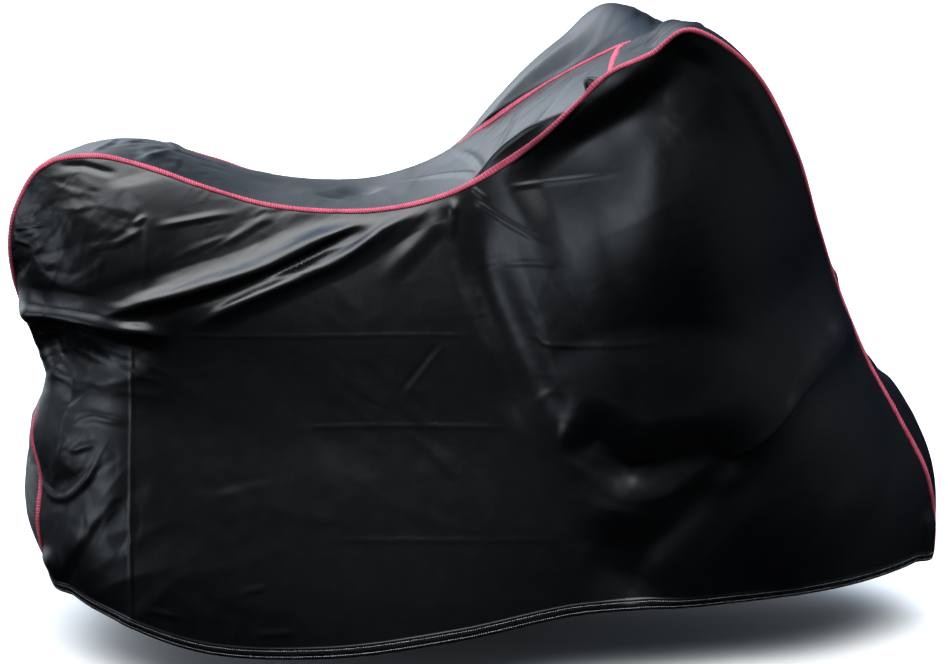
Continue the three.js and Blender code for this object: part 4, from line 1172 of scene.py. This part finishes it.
def dress_panel(scene, kind, which, outer, outwards):
    """The draped sheet and the hem stitches that stand for one packed panel."""
    cloth, thread = scene.cover_cloth, scene.cover_thread
    finish = finish_once("coated cloth", cloth_material, cloth)
    piece = cloth_piece(f"draped_{kind}_{which}", outer, outwards, cloth.thickness, finish)
    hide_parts(f"{kind}_panel_{which}")
    finish = finish_once("hem thread", thread_material, thread)
    stitches = stitch_piece(f"hem_stitches_{which}", hem_lines(outer, outwards), thread, finish)


class CoverCloth(bpy.types.PropertyGroup):
    thickness: FloatProperty(name="Thickness", description="Thickness of the coated cloth",
        default=0.0012, min=0.0005, max=0.003, unit="LENGTH")
    crease_share: FloatProperty(name="Creases", description="Share of the fine creases' full height",
        default=1.0, min=0.0, max=1.5, subtype="FACTOR")
    weave_pitch: FloatProperty(name="Weave", description="Distance between two threads of the weave",
        default=0.0009, min=0.0003, max=0.003, unit="LENGTH")
    dark: FloatVectorProperty(name="Dark", description="Colour of the cloth where its bloom is least",
        default=(0.0009, 0.0010, 0.0013), size=3, min=0.0, max=1.0, subtype="COLOR")
    light: FloatVectorProperty(name="Bloom", description="Colour of the cloth where its bloom is most",
        default=(0.0019, 0.0021, 0.0027), size=3, min=0.0, max=1.0, subtype="COLOR")


class CoverTape(bpy.types.PropertyGroup):
    width: FloatProperty(name="Width", description="Width of the tape over the seam",
        default=0.0135, min=0.008, max=0.03, unit="LENGTH")
    height: FloatProperty(name="Height", description="How far the tape stands out of the cloth",
        default=0.0026, min=0.0005, max=0.006, unit="LENGTH")
    step: FloatProperty(name="Step", description="Length of one mesh step along the tape",
        default=0.0015, min=0.0008, max=0.01, unit="LENGTH")
    stitch_length: FloatProperty(name="Stitch", description="Length from one overlock stitch to the next",
        default=0.0075, min=0.002, max=0.012, unit="LENGTH")
    stitch_rise: FloatProperty(name="Stitch height", description="Height of the overlock stitches",
        default=0.0009, min=0.0, max=0.002, unit="LENGTH")
    colour: FloatVectorProperty(name="Tape", description="Colour of the binding tape",
        default=(0.17, 0.005, 0.017), size=3, min=0.0, max=1.0, subtype="COLOR")
    # A darker red for both edges of the tape: painted shade where it turns down into the cloth.
    shaded_edge_colour: FloatVectorProperty(name="Edge", description="Colour of the tape's edges",
        default=(0.10, 0.003, 0.008), size=3, min=0.0, max=1.0, subtype="COLOR")
    stitch_colour: FloatVectorProperty(name="Thread", description="Colour of the overlock thread",
        default=(0.52, 0.10, 0.155), size=3, min=0.0, max=1.0, subtype="COLOR")


class CoverThread(bpy.types.PropertyGroup):
    length: FloatProperty(name="Stitch", description="Length of a hem stitch",
        default=0.0036, min=0.001, max=0.01, unit="LENGTH")
    pitch: FloatProperty(name="Pitch", description="Distance from one hem stitch to the next",
        default=0.0048, min=0.002, max=0.015, unit="LENGTH")
    thickness: FloatProperty(name="Thickness", description="Thickness of the hem thread",
        default=0.0011, min=0.0003, max=0.002, unit="LENGTH")
    colour: FloatVectorProperty(name="Thread", description="Colour of the hem thread",
        default=(0.62, 0.62, 0.64), size=3, min=0.0, max=1.0, subtype="COLOR")


class CoverStage(bpy.types.PropertyGroup):
    floor_height: FloatProperty(name="Floor", description="Height of the floor under the hem",
        default=-0.088, min=-1.0, max=0.0, unit="LENGTH")
    floor_colour: FloatVectorProperty(name="Floor colour", description="Colour of the floor",
        default=(0.62, 0.61, 0.60), size=3, min=0.0, max=1.0, subtype="COLOR")
    lens: FloatProperty(name="Lens", description="Focal length on a 36 mm sensor",
        default=70.5, min=20.0, max=200.0)
    camera: FloatVectorProperty(name="Camera", description="Place of the camera",
        default=(-0.234, -3.895, 1.442), size=3, subtype="TRANSLATION", unit="LENGTH")
    azimuth: FloatProperty(name="Azimuth", description="Turn of the camera about the upright",
        default=-0.05236, subtype="ANGLE")
    tilt: FloatProperty(name="Tilt", description="How far the camera looks down",
        default=0.21991, subtype="ANGLE")
    sky: FloatProperty(name="Sky", description="Brightness of the sky straight above",
        default=10.6, min=0.0, max=20.0)
    ground: FloatProperty(name="Ground", description="Brightness below the high sky",
        default=0.02, min=0.0, max=10.0)
    right: FloatProperty(name="Pale sky at the front", description="Brightness beyond the front",
        default=0.14, min=0.0, max=10.0)
    low: FloatProperty(name="Low sky", description="Brightness gained near the horizon",
        default=0.13, min=0.0, max=10.0)
    behind: FloatProperty(name="Sky behind", description="Brightness beyond the far side",
        default=4.5, min=0.0, max=20.0)
    left: FloatProperty(name="Pale sky at the rear", description="Brightness beyond the rear",
        default=3.6, min=0.0, max=20.0)
    backdrop: FloatVectorProperty(name="Backdrop", description="Colour of the backdrop",
        default=(0.86, 0.87, 0.88), size=3, min=0.0, max=1.0, subtype="COLOR")


class COVER_OT_side_panels(bpy.types.Operator):
    """Builds the two draped side panels with their hems"""
    bl_idname = "cover.side_panels"
    bl_label = "Side panels"

    def execute(self, context):
        scene = context.scene
        for side, outwards in (("right", -1), ("left", 1)):
            outer = add_hem(side_grid(side, outwards, scene.cover_cloth), outwards)
            dress_panel(scene, "side", side, outer, outwards)
        return {"FINISHED"}


class COVER_OT_centre_panel(bpy.types.Operator):
    """Builds the two lengths of the draped centre panel with their hems"""
    bl_idname = "cover.centre_panel"
    bl_label = "Centre panel"

    def execute(self, context):
        whole = centre_grid(context.scene.cover_cloth)
        row = CROSS_SEAM * STRIP_ROWS_PER_STATION
        for length, part, outwards in (("rear", whole[row::-1], 1), ("front", whole[row:], -1)):
            outer = add_hem(part if len(part) % 2 == 0 else part[1:], outwards)
            dress_panel(context.scene, "centre", length, outer, outwards)
        return {"FINISHED"}


class COVER_OT_tapes(bpy.types.Operator):
    """Builds the binding tapes over the right, left and cross seams"""
    bl_idname = "cover.tapes"
    bl_label = "Binding tapes"

    def execute(self, context):
        cloth, tape = context.scene.cover_cloth, context.scene.cover_tape
        finish = finish_once("binding tape", tape_material, tape)
        centre = centre_grid(cloth)
        tapes = {}
        for side, outwards, edge_b, inside_b in (
            ("right", -1, centre[:, 0], centre[:, TAPE_INSET]),
            ("left", 1, centre[:, -1], centre[:, -1 - TAPE_INSET]),
        ):
            edge, within = sewn_edge(side_grid(side, outwards, cloth), TAPE_INSET)
            tapes[f"seam_tape_{side}"] = (f"tape_{side}", edge, within, edge_b, inside_b, -outwards)
        row = CROSS_SEAM * STRIP_ROWS_PER_STATION
        before, after = centre[row - TAPE_INSET], centre[row + TAPE_INSET]
        tapes["cross_seam_tape"] = ("tape_cross", centre[row], before, centre[row], after, -1)
        for node_name, sewn in tapes.items():
            piece = tape_piece(*sewn, tape, finish)
            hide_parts(node_name)
        return {"FINISHED"}


class COVER_OT_stage(bpy.types.Operator):
    """Builds the floor, the backdrop, the sky and the camera"""
    bl_idname = "cover.stage"
    bl_label = "Stage"

    def execute(self, context):
        stage = context.scene.cover_stage
        mesh = bpy.data.meshes.new("floor")
        corners = [(FLOOR_REACH * x, FLOOR_REACH * y, stage.floor_height) for x, y in SQUARE]
        mesh.from_pydata(corners, [], [(0, 1, 2, 3)])
        mesh.materials.append(floor_material(stage.floor_colour))
        floor = bpy.data.objects.new("floor", mesh)
        backdrop = backdrop_dome(stage.backdrop)
        for stage_piece in (floor, backdrop):
            context.scene.collection.objects.link(stage_piece)
            stage_piece.visible_glossy = stage_piece.visible_diffuse = False
        backdrop.visible_shadow = False
        context.scene.world = soft_sky(stage)
        context.scene.view_settings.view_transform = "Standard"
        camera = bpy.data.cameras.new("photo view")
        camera.lens, camera.sensor_width, camera.clip_end = stage.lens, 36.0, 100.0
        viewer = bpy.data.objects.new("photo view", camera)
        viewer.location = stage.camera
        viewer.rotation_euler = (np.pi / 2 - stage.tilt, 0.0, stage.azimuth)
        context.scene.collection.objects.link(viewer)
        context.scene.camera = viewer
        return {"FINISHED"}


class COVER_PT_sidebar(bpy.types.Panel):
    """The cover's sizes, colours and pieces"""
    bl_idname = "COVER_PT_sidebar"
    bl_label = "Motor scooter cover"
    bl_space_type = "VIEW_3D"
    bl_region_type = "UI"
    bl_category = "Cover"

    def draw(self, context):
        for title, key, operators in (
            ("Cloth", "cover_cloth", ("cover.side_panels", "cover.centre_panel")),
            ("Tapes", "cover_tape", ("cover.tapes",)),
            ("Hem stitches", "cover_thread", ()),
            ("Stage", "cover_stage", ("cover.stage",)),
        ):
            box = self.layout.box()
            box.label(text=title)
            settings = getattr(context.scene, key)
            for name in settings.__annotations__:
                box.prop(settings, name)
            for operator in operators:
                box.operator(operator)


SETTINGS = {
    "cover_cloth": CoverCloth,
    "cover_tape": CoverTape,
    "cover_thread": CoverThread,
    "cover_stage": CoverStage,
}
CLASSES = (
    *SETTINGS.values(),
    COVER_OT_side_panels,
    COVER_OT_centre_panel,
    COVER_OT_tapes,
    COVER_OT_stage,
    COVER_PT_sidebar,
)


def register():
    for cls in CLASSES:
        bpy.utils.register_class(cls)
    for name, group in SETTINGS.items():
        setattr(bpy.types.Scene, name, PointerProperty(type=group))


def unregister():
    for name in SETTINGS:
        delattr(bpy.types.Scene, name)
    for cls in reversed(CLASSES):
        bpy.utils.unregister_class(cls)


def main():
    """Builds every piece in order."""
    register()
    bpy.ops.cover.side_panels()
    bpy.ops.cover.centre_panel()
    bpy.ops.cover.tapes()
    bpy.ops.cover.stage()


if __name__ == "__main__":
    main()
